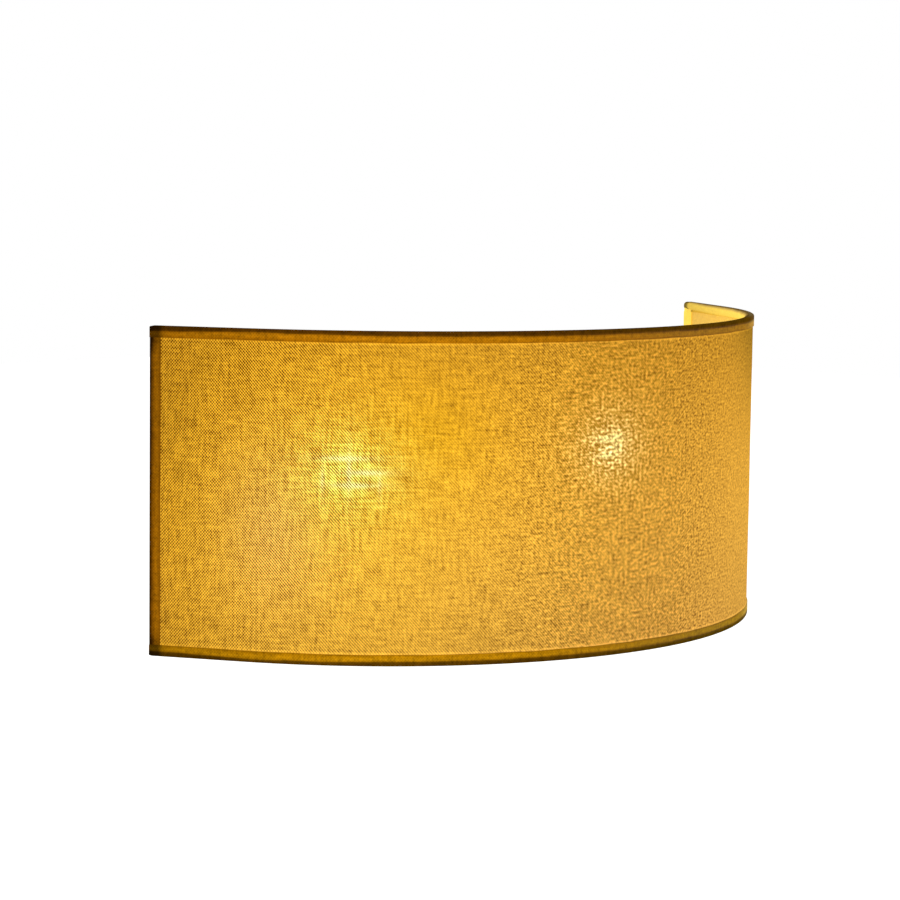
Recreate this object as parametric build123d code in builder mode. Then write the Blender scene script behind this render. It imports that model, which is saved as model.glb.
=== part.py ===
from build123d import *
import os
from math import acos, atan2, cos, degrees, hypot, radians, sin, sqrt, tan

# Half-round fabric wall light with two screw-in bulbs.
# Origin: middle of the wall plate on the wall plane. +X right, +Z up, the shade stands out towards -Y.

# ---- Driving dimensions, millimetres ----

# Shade
shade_width = 400.0
shade_depth = 150.0
shade_height = 158.0
straight_end = 50.0
cover_thickness = 0.6
liner_thickness = 0.4
glue_line = 0.05
rim_wire = 3.0
upright_wire = 3.0
binding_thickness = 0.5
binding_reach = 5.5
binding_clearance = 0.05
fold_corner = 0.15
butt_gap = 0.1
wall_gap = 0.3

# Shade hangers, studs and thumb nuts
hanger_thickness = 1.5
hanger_height = 26.0
hanger_above_stud = 9.0
hanger_gap = 0.3
hanger_tongue = 9.0
slot_width = 5.8
stud_from_side = 22.0
stud_z = 14.0
stud_diameter = 5.0
stud_length = 19.0
stud_head_diameter = 8.0
stud_head_height = 0.8
washer_diameter = 13.0
washer_thickness = 1.0
nut_diameter = 15.0
nut_hub_diameter = 9.0
nut_rim_height = 5.0
nut_height = 8.0
knurl_count = 20
knurl_depth = 0.5
seat_gap = 0.2

# Wall plate
plate_side_gap = 14.0
plate_height = 84.0
plate_corner = 8.0
plate_sheet = 1.5
raised_width = 220.0
raised_height = 66.0
raised_corner = 12.0
raised_depth = 10.0
raised_draft = 20.0
press_radius = 1.2
wall_slot_spacing = 280.0
wall_slot_width = 5.2
wall_slot_length = 14.0
cable_hole = 14.0
cable_z = -19.0
grommet_flange = 18.0
grommet_lip = 2.2
grommet_bore = 8.0

# Lamp bracket
lamp_z = 6.0
lamp_reach = 37.0
bracket_sheet = 1.5
bracket_width = 48.0
bracket_height = 28.0
bracket_bend = 1.5
bracket_screw_x = 16.6
screw_diameter = 3.0
screw_head_diameter = 5.4
screw_head_height = 1.9
screw_tip = 2.4
nut_flats = 5.5
nut_thickness = 2.2
hole_clearance = 0.1

# Earth terminal
earth_x = -40.0
earth_z = -18.0
earth_washer_diameter = 8.0
earth_washer_thickness = 0.8
tag_ring_diameter = 7.6
tag_thickness = 0.8
tag_barrel_length = 7.0
tag_barrel_start = 5.0

# Terminal block
block_width = 24.5
block_height = 17.0
block_depth = 14.0
pole_pitch = 8.0
pole_bore = 4.6
barrel_diameter = 4.4
barrel_bore = 2.6
barrel_length = 12.0
wire_stop = 1.0
clamp_spacing = 6.4
clamp_diameter = 2.6
clamp_well = 3.6
clamp_sink = 1.0
block_screw_x = 4.0
block_screw_diameter = 2.2
block_screw_head = 3.4

# Lampholder
nipple_diameter = 10.0
nipple_bore = 7.0
nipple_inside = 7.0
nipple_outside = 6.0
locknut_flats = 14.0
locknut_thickness = 3.0
holder_diameter = 27.5
holder_mouth_diameter = 25.0
holder_wall = 1.6
cap_length = 13.0
cap_floor = 3.0
skirt_length = 27.0
skirt_lip = 1.6
skirt_opening = 18.6
insert_start = 9.0
insert_length = 7.0
insert_clearance = 0.2
insert_boss_diameter = 10.0
insert_boss_length = 1.4
thread_clearance = 0.08
screw_shell_sheet = 0.4
screw_shell_length = 17.0
tongue_width = 4.0
tongue_sheet = 0.4
tongue_length = 8.0

# Bulb, small Edison screw
thread_diameter = 13.8
thread_pitch = 2.822
contact_from_ear = 20.0
contact_gap = 0.2
contact_diameter = 4.8
contact_height = 1.3
insulator_height = 2.2
cap_shell = 0.4
cap_barrel_length = 17.0
cap_flare_length = 3.0
cap_skirt_length = 2.5
cap_skirt_diameter = 17.0
bulb_diameter = 45.0
bulb_length = 78.0
bulb_neck_diameter = 15.6
glass_thickness = 0.8
stem_diameter = 5.0
stem_length = 15.0
filament_count = 4
filament_diameter = 1.6
filament_length = 27.0
filament_circle = 14.0
filament_wire = 0.6

# Wiring
lead_diameter = 1.8
lead_spacing = 2.0
earth_lead_diameter = 2.0

# ---- Worked-out sizes ----

top_z = shade_height / 2
laminate = cover_thickness + glue_line + liner_thickness

# Plan of the shade: an arc in front, and straight ends that meet it without a kink.
front_radius = ((shade_width / 2) ** 2 + shade_depth**2 - straight_end**2) / (2 * shade_depth)
arc_y = front_radius - shade_depth
reach_to_end = hypot(shade_width / 2, arc_y)
arc_half_angle = atan2(shade_width / 2, arc_y) - acos(front_radius / reach_to_end)
end_forward = Vector(-cos(arc_half_angle), -sin(arc_half_angle))
end_inward = Vector(-sin(arc_half_angle), cos(arc_half_angle))

# The plate and the studs keep their distance from the shade's sides.
plate_width = shade_width - 2 * plate_side_gap
stud_x = shade_width / 2 - stud_from_side
hanger_inner_x = stud_x - hanger_tongue

# The binding is folded round a wire with a small clearance.
fold_radius = rim_wire / 2 + binding_clearance
wire_inset = laminate + binding_clearance + fold_radius
fold_outer = fold_radius + binding_thickness
end_inset = (
    wall_gap + fold_outer * (1 - sin(arc_half_angle)) + wire_inset * cos(arc_half_angle)
) / sin(arc_half_angle)
rim_wire_z = top_z - fold_outer
laminate_end = end_inset + binding_thickness + binding_clearance
laminate_top = top_z - binding_thickness - binding_clearance
upright_inset = end_inset + fold_outer


def plan_point(along, inward):
    """Point beside the right end: so far along the end from the wall, and so far inside the outer face."""
    return Vector(shade_width / 2, 0) + end_forward * along + end_inward * inward


def arc_point(inward, side):
    """Where the arc meets the straight end, at a distance inside the outer face."""
    radius = front_radius - inward
    return Vector(side * radius * sin(arc_half_angle), arc_y - radius * cos(arc_half_angle))


def flipped(point):
    return Vector(-point.X, point.Y)


def plan_line(along, inward):
    """The shade's plan from left end to right end, at a distance inside the outer face."""
    end = plan_point(along, inward)
    front = (0, arc_y - (front_radius - inward))
    Line(flipped(end), arc_point(inward, -1))
    ThreePointArc(arc_point(inward, -1), front, arc_point(inward, 1))
    Line(arc_point(inward, 1), end)


def plan_band(along, outer, inner):
    """Closed outline of a sheet that follows the plan."""
    plan_line(along, outer)
    Line(plan_point(along, outer), plan_point(along, inner))
    plan_line(along, inner)
    Line(flipped(plan_point(along, inner)), flipped(plan_point(along, outer)))


def binding_section(edge):
    """Folded tape: outside leg, over the wire, round its inner side and back against the liner.
    Local X runs inward from the outer face and local Y towards the edge that is bound."""
    wire_y = edge - fold_outer
    under = wire_y - fold_radius
    tuck = laminate + binding_clearance
    leg = edge - binding_reach
    outside = -binding_clearance
    corner = fold_corner
    top = edge - binding_thickness
    Polyline(
        (outside - binding_thickness, leg),
        (outside - binding_thickness, edge - corner - binding_thickness),
    )
    ThreePointArc(
        (outside - binding_thickness, edge - corner - binding_thickness),
        (
            outside + corner - (corner + binding_thickness) / sqrt(2),
            top - corner + (corner + binding_thickness) / sqrt(2),
        ),
        (outside + corner, edge),
    )
    Line((outside + corner, edge), (wire_inset, edge))
    ThreePointArc(
        (wire_inset, edge), (wire_inset + fold_outer, wire_y), (wire_inset, wire_y - fold_outer)
    )
    Polyline(
        (wire_inset, wire_y - fold_outer),
        (tuck + binding_thickness, wire_y - fold_outer),
        (tuck + binding_thickness, leg),
        (tuck, leg),
        (tuck, under),
        (wire_inset, under),
    )
    ThreePointArc((wire_inset, under), (wire_inset + fold_radius, wire_y), (wire_inset, top))
    Line((wire_inset, top), (outside + corner, top))
    ThreePointArc(
        (outside + corner, top),
        (outside + corner * (1 - 1 / sqrt(2)), top - corner * (1 - 1 / sqrt(2))),
        (outside, top - corner),
    )
    Polyline((outside, top - corner), (outside, leg), (outside - binding_thickness, leg))


def save(piece, name):
    piece.part.label = name
    export_step(piece.part, f"parts/{name}.step")


def save_pair(right_piece, name):
    """Writes a right-hand piece and its mirror image on the left."""
    save(right_piece, "right_" + name)
    with BuildPart() as left_piece:
        mirror(right_piece.part, about=Plane.YZ)
    save(left_piece, "left_" + name)


os.makedirs("parts", exist_ok=True)

# ---- Shade ----

with BuildPart() as shade_cover:
    with BuildSketch(Plane.XY.offset(-laminate_top)):
        with BuildLine():
            plan_band(laminate_end, 0, cover_thickness)
        make_face()
    extrude(amount=2 * laminate_top)
save(shade_cover, "shade_cover")

with BuildPart() as shade_liner:
    with BuildSketch(Plane.XY.offset(-laminate_top)):
        with BuildLine():
            plan_band(laminate_end, cover_thickness + glue_line, laminate)
        make_face()
    extrude(amount=2 * laminate_top)
save(shade_liner, "shade_liner")

wire_start = flipped(plan_point(upright_inset - upright_wire / 2, wire_inset))
left_end_plane = Plane(
    origin=wire_start, x_dir=(-end_inward.X, end_inward.Y, 0), z_dir=(-end_forward.X, end_forward.Y, 0)
)
with BuildPart() as top_wire:
    with BuildLine() as wire_route:
        plan_line(upright_inset - upright_wire / 2, wire_inset)
    with BuildSketch(left_end_plane):
        Circle(rim_wire / 2)
    sweep(path=wire_route.line)

for name, wire_z in (("top_wire", rim_wire_z), ("bottom_wire", -rim_wire_z)):
    with BuildPart() as rim:
        add(top_wire.part.moved(Location((0, 0, wire_z))))
    save(rim, name)

upright_centre = plan_point(upright_inset, wire_inset)
upright_end_z = rim_wire_z - rim_wire / 2 - binding_clearance
with BuildPart() as upright:
    with BuildSketch(Plane.XY.offset(-upright_end_z)):
        with Locations(upright_centre):
            Circle(upright_wire / 2)
    extrude(amount=2 * upright_end_z)
save_pair(upright, "upright")

# The strip is straight from the wall to the arc, then turned round the arc's centre to the other side.
arc_end_plane = Plane(
    origin=arc_point(0, 1),
    x_dir=(end_inward.X, end_inward.Y, 0),
    z_dir=(-end_forward.X, -end_forward.Y, 0),
)
with BuildPart() as top_binding:
    with BuildSketch(arc_end_plane) as folded_strip:
        with BuildLine():
            binding_section(top_z)
        make_face()
    extrude(amount=straight_end - end_inset)
    mirror(about=Plane.YZ)
    revolve(
        folded_strip.sketch,
        axis=Axis((0, arc_y, 0), (0, 0, -1)),
        revolution_arc=degrees(2 * arc_half_angle),
    )
    split(bisect_by=Plane.XZ.offset(wall_gap), keep=Keep.TOP)
    with Locations(upright_centre, flipped(upright_centre)):
        Cylinder(upright_wire / 2 + seat_gap, 2 * rim_wire_z - rim_wire / 2, mode=Mode.SUBTRACT)
save(top_binding, "top_binding")

with BuildPart() as bottom_binding:
    mirror(top_binding.part, about=Plane.XY)
save(bottom_binding, "bottom_binding")

# The hanger stands in front of the wall plate, and the end binding is slit where it passes through.
hanger_back_y = -plate_sheet - hanger_gap
hanger_top_z = stud_z + hanger_above_stud
hanger_mid_z = hanger_top_z - hanger_height / 2
end_binding_half = top_z - binding_reach - butt_gap
with BuildPart() as end_binding:
    with BuildSketch(
        Plane(
            origin=plan_point(end_inset, 0) - Vector(0, 0, end_binding_half),
            x_dir=(end_inward.X, end_inward.Y, 0),
            z_dir=(0, 0, -1),
        )
    ):
        with BuildLine():
            binding_section(0)
        make_face()
    extrude(amount=-2 * end_binding_half)
    with Locations(
        (
            (hanger_inner_x + upright_centre.X) / 2,
            hanger_back_y - hanger_thickness / 2,
            hanger_mid_z,
        )
    ):
        Box(
            upright_centre.X - hanger_inner_x,
            hanger_thickness + 2 * seat_gap,
            hanger_height + 2 * seat_gap,
            mode=Mode.SUBTRACT,
        )
save_pair(end_binding, "end_binding")

with BuildPart() as hanger:
    with BuildSketch(Plane.XZ.offset(-hanger_back_y)):
        with Locations(((hanger_inner_x + upright_centre.X) / 2, hanger_mid_z)):
            Rectangle(upright_centre.X - hanger_inner_x, hanger_height)
        fillet(vertices().group_by(Axis.X)[0], radius=slot_width / 2)
        with Locations((stud_x, stud_z)):
            Circle(slot_width / 2, mode=Mode.SUBTRACT)
        with Locations((stud_x, stud_z)):
            Rectangle(
                slot_width,
                hanger_height,
                align=(Align.CENTER, Align.MAX),
                mode=Mode.SUBTRACT,
            )
    extrude(amount=hanger_thickness)
    with Locations((upright_centre.X, upright_centre.Y, hanger_mid_z)):
        Cylinder(upright_wire / 2 + binding_clearance, 2 * hanger_height, mode=Mode.SUBTRACT)
save_pair(hanger, "hanger")

# ---- Wall plate ----

raised_face_y = -raised_depth
raised_back_y = raised_face_y + plate_sheet
draft_shift = plate_sheet / cos(radians(raised_draft)) - plate_sheet * tan(radians(raised_draft))
with BuildPart() as wall_plate:
    with BuildSketch(Plane.XZ):
        RectangleRounded(plate_width, plate_height, plate_corner)
    extrude(amount=plate_sheet)
    with BuildSketch(Plane.XZ):
        RectangleRounded(raised_width, raised_height, raised_corner)
    extrude(amount=raised_depth, taper=raised_draft)
    fillet(faces().sort_by(Axis.Y)[0].edges(), radius=press_radius)
    with BuildSketch(Plane.XZ):
        RectangleRounded(
            raised_width - 2 * draft_shift,
            raised_height - 2 * draft_shift,
            raised_corner - draft_shift,
        )
    extrude(amount=raised_depth - plate_sheet, taper=raised_draft, mode=Mode.SUBTRACT)
    with BuildSketch(Plane.XZ):
        with GridLocations(wall_slot_spacing, 0, 2, 1):
            SlotOverall(wall_slot_length, wall_slot_width)
        with Locations((0, cable_z)):
            Circle(cable_hole / 2)
        with Locations((stud_x, stud_z), (-stud_x, stud_z)):
            Circle(stud_diameter / 2 + binding_clearance)
        with Locations((bracket_screw_x, lamp_z), (-bracket_screw_x, lamp_z), (earth_x, earth_z)):
            Circle(screw_diameter / 2 + hole_clearance)
        with Locations((block_screw_x, lamp_z), (-block_screw_x, lamp_z)):
            Circle(block_screw_diameter / 2 + hole_clearance)
    extrude(amount=raised_depth, mode=Mode.SUBTRACT)
    with BuildSketch(Plane.XZ):
        with Locations((stud_x, stud_z), (-stud_x, stud_z)):
            Circle(stud_head_diameter / 2 + binding_clearance)
    extrude(amount=stud_head_height + binding_clearance, mode=Mode.SUBTRACT)
save(wall_plate, "wall_plate")

with BuildPart() as shade_studs:
    with BuildSketch(Plane.XZ):
        with Locations((stud_x, stud_z), (-stud_x, stud_z)):
            Circle(stud_head_diameter / 2)
    extrude(amount=stud_head_height)
    with BuildSketch(Plane.XZ):
        with Locations((stud_x, stud_z), (-stud_x, stud_z)):
            Circle(stud_diameter / 2)
    extrude(amount=stud_length)
    chamfer(faces().group_by(Axis.Y)[0].edges(), length=stud_diameter / 8)
save(shade_studs, "shade_studs")

# Rubber ring that grips the edge of the cable hole.
grommet_axis = Axis((0, 0, cable_z), (0, 1, 0))
with BuildPart() as cable_grommet:
    with BuildSketch(Plane.XY.offset(cable_z)):
        with BuildLine():
            Polyline(
                (grommet_bore / 2, raised_back_y + grommet_lip),
                (grommet_flange / 2 - grommet_lip / 2, raised_back_y + grommet_lip),
                (grommet_flange / 2, raised_back_y + grommet_lip / 2),
                (grommet_flange / 2, raised_back_y + binding_clearance),
                (cable_hole / 2 - binding_clearance, raised_back_y + binding_clearance),
                (cable_hole / 2 - binding_clearance, raised_face_y - binding_clearance),
                (grommet_flange / 2, raised_face_y - binding_clearance),
                (grommet_flange / 2, raised_face_y - grommet_lip / 2),
                (grommet_flange / 2 - grommet_lip / 2, raised_face_y - grommet_lip),
                (grommet_bore / 2, raised_face_y - grommet_lip),
                close=True,
            )
        make_face()
    revolve(axis=grommet_axis)
save(cable_grommet, "cable_grommet")

# ---- Lamp bracket ----

bracket_base_y = raised_face_y - bracket_sheet
ear_x = bracket_width / 2
ear_tip_y = -lamp_reach - bracket_height / 2
with BuildPart() as lamp_bracket:
    with BuildSketch(Plane.XY.offset(lamp_z - bracket_height / 2)):
        with BuildLine():
            FilletPolyline(
                (-ear_x, ear_tip_y),
                (-ear_x, raised_face_y),
                (ear_x, raised_face_y),
                (ear_x, ear_tip_y),
                radius=bracket_bend + bracket_sheet,
            )
            Line((ear_x, ear_tip_y), (ear_x - bracket_sheet, ear_tip_y))
            FilletPolyline(
                (ear_x - bracket_sheet, ear_tip_y),
                (ear_x - bracket_sheet, bracket_base_y),
                (bracket_sheet - ear_x, bracket_base_y),
                (bracket_sheet - ear_x, ear_tip_y),
                radius=bracket_bend,
            )
            Line((bracket_sheet - ear_x, ear_tip_y), (-ear_x, ear_tip_y))
        make_face()
    extrude(amount=bracket_height)
    fillet(edges().filter_by(Axis.X).group_by(Axis.Y)[0], radius=bracket_height / 2 - hole_clearance)
    with BuildSketch(Plane.YZ):
        with Locations((-lamp_reach, lamp_z)):
            Circle(nipple_diameter / 2 + hole_clearance)
    extrude(amount=bracket_width, both=True, mode=Mode.SUBTRACT)
    with BuildSketch(Plane.XZ):
        with Locations((bracket_screw_x, lamp_z), (-bracket_screw_x, lamp_z)):
            Circle(screw_diameter / 2 + hole_clearance)
        with Locations((block_screw_x, lamp_z), (-block_screw_x, lamp_z)):
            Circle(block_screw_diameter / 2 + hole_clearance)
    extrude(amount=lamp_reach / 2, mode=Mode.SUBTRACT)
save(lamp_bracket, "lamp_bracket")


def pan_head_screw(x, z, seat_y):
    """Screw that points at the wall, with its head on the seat."""
    with BuildPart() as screw:
        with BuildSketch(Plane.XZ.offset(-seat_y)):
            with Locations((x, z)):
                Circle(screw_head_diameter / 2)
        extrude(amount=screw_head_height)
        fillet(edges().group_by(Axis.Y)[0], radius=screw_head_height / 3)
        with BuildSketch(Plane.XZ.offset(-seat_y)):
            with Locations((x, z)):
                Circle(screw_diameter / 2)
        extrude(amount=seat_y - raised_back_y - nut_thickness - screw_tip)
    return screw


with BuildPart() as bracket_screws:
    add(pan_head_screw(bracket_screw_x, lamp_z, bracket_base_y).part)
    mirror(about=Plane.YZ)
save(bracket_screws, "bracket_screws")

earth_seat_y = raised_face_y - earth_washer_thickness - tag_thickness
save(pan_head_screw(earth_x, earth_z, earth_seat_y), "earth_screw")

with BuildPart() as plate_nuts:
    with BuildSketch(Plane.XZ.offset(-raised_back_y - nut_thickness)):
        with Locations((bracket_screw_x, lamp_z), (-bracket_screw_x, lamp_z), (earth_x, earth_z)):
            RegularPolygon(nut_flats / 2, 6, major_radius=False)
            Circle(screw_diameter / 2 + binding_clearance, mode=Mode.SUBTRACT)
    extrude(amount=nut_thickness)
save(plate_nuts, "plate_nuts")

with BuildPart() as earth_washer:
    with BuildSketch(Plane.XZ.offset(-raised_face_y)):
        with Locations((earth_x, earth_z)):
            Circle(earth_washer_diameter / 2)
            with PolarLocations(earth_washer_diameter / 2, 12):
                Circle(earth_washer_thickness / 2, mode=Mode.SUBTRACT)
            Circle(screw_diameter / 2 + hole_clearance, mode=Mode.SUBTRACT)
    extrude(amount=earth_washer_thickness)
save(earth_washer, "earth_washer")

# Ring tag with its crimped barrel upwards.
tag_back_y = raised_face_y - earth_washer_thickness
tag_barrel_z = earth_z + tag_barrel_start
tag_barrel_radius = earth_lead_diameter / 2 + tag_thickness
tag_axis_y = tag_back_y - tag_barrel_radius
with BuildPart() as earth_tag:
    with BuildSketch(Plane.XZ.offset(-tag_back_y)):
        with Locations((earth_x, earth_z)):
            Circle(tag_ring_diameter / 2)
        with Locations((earth_x, earth_z)):
            Rectangle(
                2 * earth_lead_diameter,
                tag_barrel_start + tag_thickness,
                align=(Align.CENTER, Align.MIN),
            )
        with Locations((earth_x, earth_z)):
            Circle(screw_diameter / 2 + hole_clearance, mode=Mode.SUBTRACT)
    extrude(amount=tag_thickness)
    with BuildSketch(Plane.XY.offset(tag_barrel_z)):
        with Locations((earth_x, tag_axis_y)):
            Circle(tag_barrel_radius)
    extrude(amount=tag_barrel_length)
    with BuildSketch(Plane.XY.offset(tag_barrel_z)):
        with Locations((earth_x, tag_axis_y)):
            Circle(earth_lead_diameter / 2 + binding_clearance)
    extrude(amount=tag_barrel_length, mode=Mode.SUBTRACT)
save(earth_tag, "earth_tag")

# ---- Terminal block ----

block_top_y = bracket_base_y - block_depth
pole_y = bracket_base_y - block_depth / 2
poles = [(pole * pole_pitch, lamp_z) for pole in (-1, 0, 1)]
clamps = [(x, z + end * clamp_spacing / 2) for x, z in poles for end in (-1, 1)]
with BuildPart() as terminal_block:
    with BuildSketch(Plane.XZ.offset(-bracket_base_y)):
        with Locations((0, lamp_z)):
            RectangleRounded(block_width, block_height, hole_clearance * 8)
    extrude(amount=block_depth)
    with BuildSketch(Plane.XZ.offset(-block_top_y)):
        with Locations((block_screw_x, lamp_z), (-block_screw_x, lamp_z)):
            Circle(block_screw_head / 2)
    extrude(amount=-block_depth / 4, mode=Mode.SUBTRACT)
    with BuildSketch(Plane.XY.offset(lamp_z - block_height / 2)):
        with Locations(*((x, pole_y) for x, _ in poles)):
            Circle(pole_bore / 2)
    extrude(amount=block_height, mode=Mode.SUBTRACT)
    with BuildSketch(Plane.XZ.offset(-block_top_y)):
        with Locations(*clamps):
            Circle(clamp_well / 2)
    extrude(amount=-block_depth / 2, mode=Mode.SUBTRACT)
    with BuildSketch(Plane.XZ.offset(-bracket_base_y)):
        with Locations((block_screw_x, lamp_z), (-block_screw_x, lamp_z)):
            Circle(block_screw_diameter / 2 + hole_clearance)
    extrude(amount=block_depth, mode=Mode.SUBTRACT)
save(terminal_block, "terminal_block")

# Brass barrels, bored from both ends up to a stop in the middle.
with BuildPart() as terminal_barrels:
    with BuildSketch(Plane.XY.offset(lamp_z - barrel_length / 2)):
        with Locations(*((x, pole_y) for x, _ in poles)):
            Circle(barrel_diameter / 2)
    extrude(amount=barrel_length)
    with BuildSketch(Plane.XY.offset(lamp_z + wire_stop / 2)):
        with Locations(*((x, pole_y) for x, _ in poles)):
            Circle(barrel_bore / 2)
    extrude(amount=(barrel_length - wire_stop) / 2, mode=Mode.SUBTRACT)
    with BuildSketch(Plane.XY.offset(lamp_z - barrel_length / 2)):
        with Locations(*((x, pole_y) for x, _ in poles)):
            Circle(barrel_bore / 2)
    extrude(amount=(barrel_length - wire_stop) / 2, mode=Mode.SUBTRACT)
save(terminal_barrels, "terminal_barrels")

with BuildPart() as terminal_screws:
    with BuildSketch(Plane.XZ.offset(-block_top_y - clamp_sink)):
        with Locations(*clamps):
            Circle(clamp_diameter / 2)
            Rectangle(clamp_diameter, clamp_diameter / 5, mode=Mode.SUBTRACT)
    extrude(amount=-clamp_sink)
    with BuildSketch(Plane.XZ.offset(-block_top_y - 2 * clamp_sink)):
        with Locations(*clamps):
            Circle(clamp_diameter / 2)
    extrude(amount=-(block_depth / 2 - 2 * clamp_sink - barrel_diameter / 2 - binding_clearance))
save(terminal_screws, "terminal_screws")

block_screw_seat_y = block_top_y + block_depth / 4
with BuildPart() as block_screws:
    with BuildSketch(Plane.XZ.offset(-block_screw_seat_y)):
        with Locations((block_screw_x, lamp_z), (-block_screw_x, lamp_z)):
            Circle(block_screw_head / 2 - seat_gap)
    extrude(amount=hole_clearance * 10)
    with BuildSketch(Plane.XZ.offset(-block_screw_seat_y)):
        with Locations((block_screw_x, lamp_z), (-block_screw_x, lamp_z)):
            Circle(block_screw_diameter / 2)
    extrude(amount=-(raised_back_y - block_screw_seat_y + hole_clearance * 15))
save(block_screws, "block_screws")

# ---- Lampholders, bulbs: turned round the lamp axis, X measured outward from the bracket's ear ----

lamp_axis = Axis((0, -lamp_reach, lamp_z), (1, 0, 0))
lamp_plane = Plane(origin=(ear_x, -lamp_reach, lamp_z), x_dir=(1, 0, 0), z_dir=(0, 0, 1))


def turned(*outline):
    """Solid turned from (distance from the ear, radius) points."""
    with BuildPart() as piece:
        with BuildSketch(lamp_plane):
            with BuildLine():
                Polyline(*outline, close=True)
            make_face()
        revolve(axis=lamp_axis)
    return piece


nipple = turned(
    (-bracket_sheet - nipple_inside, nipple_bore / 2),
    (-bracket_sheet - nipple_inside, nipple_diameter / 2),
    (nipple_outside, nipple_diameter / 2),
    (nipple_outside, nipple_bore / 2),
)
with BuildPart() as holder_nipples:
    add(nipple.part)
    mirror(about=Plane.YZ)
save(holder_nipples, "holder_nipples")

with BuildPart() as holder_locknuts:
    with BuildSketch(Plane.YZ.offset(ear_x - bracket_sheet - locknut_thickness)):
        with Locations((-lamp_reach, lamp_z)):
            RegularPolygon(locknut_flats / 2, 6, major_radius=False)
            Circle(nipple_diameter / 2 + binding_clearance, mode=Mode.SUBTRACT)
    extrude(amount=locknut_thickness)
    mirror(about=Plane.YZ)
save(holder_locknuts, "holder_locknuts")

holder_radius = holder_diameter / 2
mouth_radius = holder_mouth_diameter / 2
skirt_end = cap_length + skirt_length
holder_cap = turned(
    (0, nipple_diameter / 2 + binding_clearance),
    (0, holder_radius - cap_floor),
    (cap_floor, holder_radius),
    (cap_length - binding_clearance, holder_radius),
    (cap_length - binding_clearance, holder_radius - holder_wall),
    (cap_floor + holder_wall, holder_radius - holder_wall),
    (cap_floor, holder_radius - 2 * holder_wall),
    (cap_floor, nipple_diameter / 2 + holder_wall),
    (nipple_outside, nipple_diameter / 2 + holder_wall),
    (nipple_outside, nipple_diameter / 2 + binding_clearance),
)
save_pair(holder_cap, "holder_cap")

holder_skirt = turned(
    (cap_length, holder_radius - holder_wall),
    (cap_length, holder_radius),
    (cap_length + holder_wall, holder_radius),
    (skirt_end - skirt_lip, mouth_radius),
    (skirt_end, mouth_radius - skirt_lip),
    (skirt_end, skirt_opening / 2),
    (skirt_end - skirt_lip, skirt_opening / 2),
    (skirt_end - skirt_lip, mouth_radius - holder_wall),
    (cap_length + holder_wall, holder_radius - holder_wall),
)
save_pair(holder_skirt, "holder_skirt")

insert_end = insert_start + insert_length
insert_radius = holder_radius - holder_wall - insert_clearance
thread_radius = thread_diameter / 2
shell_inner = thread_radius + thread_clearance
shell_outer = shell_inner + screw_shell_sheet
holder_insert = turned(
    (insert_start, 0),
    (insert_start, insert_radius - holder_wall),
    (insert_start + holder_wall, insert_radius),
    (insert_end - holder_wall, insert_radius),
    (insert_end, insert_radius - holder_wall),
    (insert_end, insert_boss_diameter / 2),
    (insert_end + insert_boss_length, insert_boss_diameter / 2),
    (insert_end + insert_boss_length, 0),
)
save_pair(holder_insert, "holder_insert")

# The threaded sleeve stands on the insert, with an inward rim round the boss.
screw_shell = turned(
    (insert_end, insert_boss_diameter / 2 + binding_clearance),
    (insert_end, shell_outer),
    (insert_end + screw_shell_length - screw_shell_sheet, shell_outer),
    (insert_end + screw_shell_length, shell_outer + screw_shell_sheet),
    (insert_end + screw_shell_length, shell_inner + screw_shell_sheet),
    (insert_end + screw_shell_length - screw_shell_sheet, shell_inner),
    (insert_end + screw_shell_sheet, shell_inner),
    (insert_end + screw_shell_sheet, insert_boss_diameter / 2 + binding_clearance),
)
save_pair(screw_shell, "screw_shell")

# Bent spring strip that presses on the bulb's centre contact.
boss_face = insert_end + insert_boss_length
tongue_tip = contact_from_ear - contact_gap
tongue_lift = tongue_tip - boss_face - tongue_sheet
with BuildPart() as holder_tongue:
    with BuildSketch(lamp_plane.offset(-tongue_width / 2)):
        with BuildLine():
            foot = Polyline(
                (boss_face, -tongue_length / 2),
                (boss_face, tongue_length / 2),
                (boss_face + tongue_sheet, tongue_length / 2),
                (boss_face + tongue_sheet, -tongue_length / 4),
            )
            Spline(
                (boss_face + tongue_sheet, -tongue_length / 4),
                (boss_face + tongue_sheet + tongue_lift * 0.7, -tongue_length / 8),
                (tongue_tip - tongue_sheet, tongue_length / 8),
                (boss_face + tongue_lift * 0.7, tongue_length / 3),
            )
            Line(
                (boss_face + tongue_lift * 0.7, tongue_length / 3),
                (boss_face + tongue_lift * 0.7 + tongue_sheet, tongue_length / 3 + tongue_sheet),
            )
            Spline(
                (boss_face + tongue_lift * 0.7 + tongue_sheet, tongue_length / 3 + tongue_sheet),
                (tongue_tip, tongue_length / 8),
                (boss_face + tongue_sheet + tongue_lift * 0.8, -tongue_length / 8 - tongue_sheet),
                (boss_face + tongue_sheet, -tongue_length / 2),
            )
            Line((boss_face + tongue_sheet, -tongue_length / 2), (boss_face, -tongue_length / 2))
        make_face()
    extrude(amount=tongue_width)
save_pair(holder_tongue, "holder_tongue")

# ---- Bulbs ----

bulb_start = contact_from_ear
insulator_start = bulb_start + contact_height
cap_start = insulator_start + insulator_height
bulb_contact = turned(
    (bulb_start, 0),
    (bulb_start, contact_diameter / 4),
    (bulb_start + contact_height / 2, contact_diameter / 2),
    (insulator_start - binding_clearance, contact_diameter / 2),
    (insulator_start - binding_clearance, 0),
)
save_pair(bulb_contact, "bulb_contact")

bulb_insulator = turned(
    (insulator_start, 0),
    (insulator_start, contact_diameter / 2 + cap_shell),
    (cap_start, thread_radius - 2 * cap_shell - binding_clearance),
    (cap_start + cap_shell, thread_radius - 2 * cap_shell - binding_clearance),
    (cap_start + cap_shell, 0),
)
save_pair(bulb_insulator, "bulb_insulator")

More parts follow.
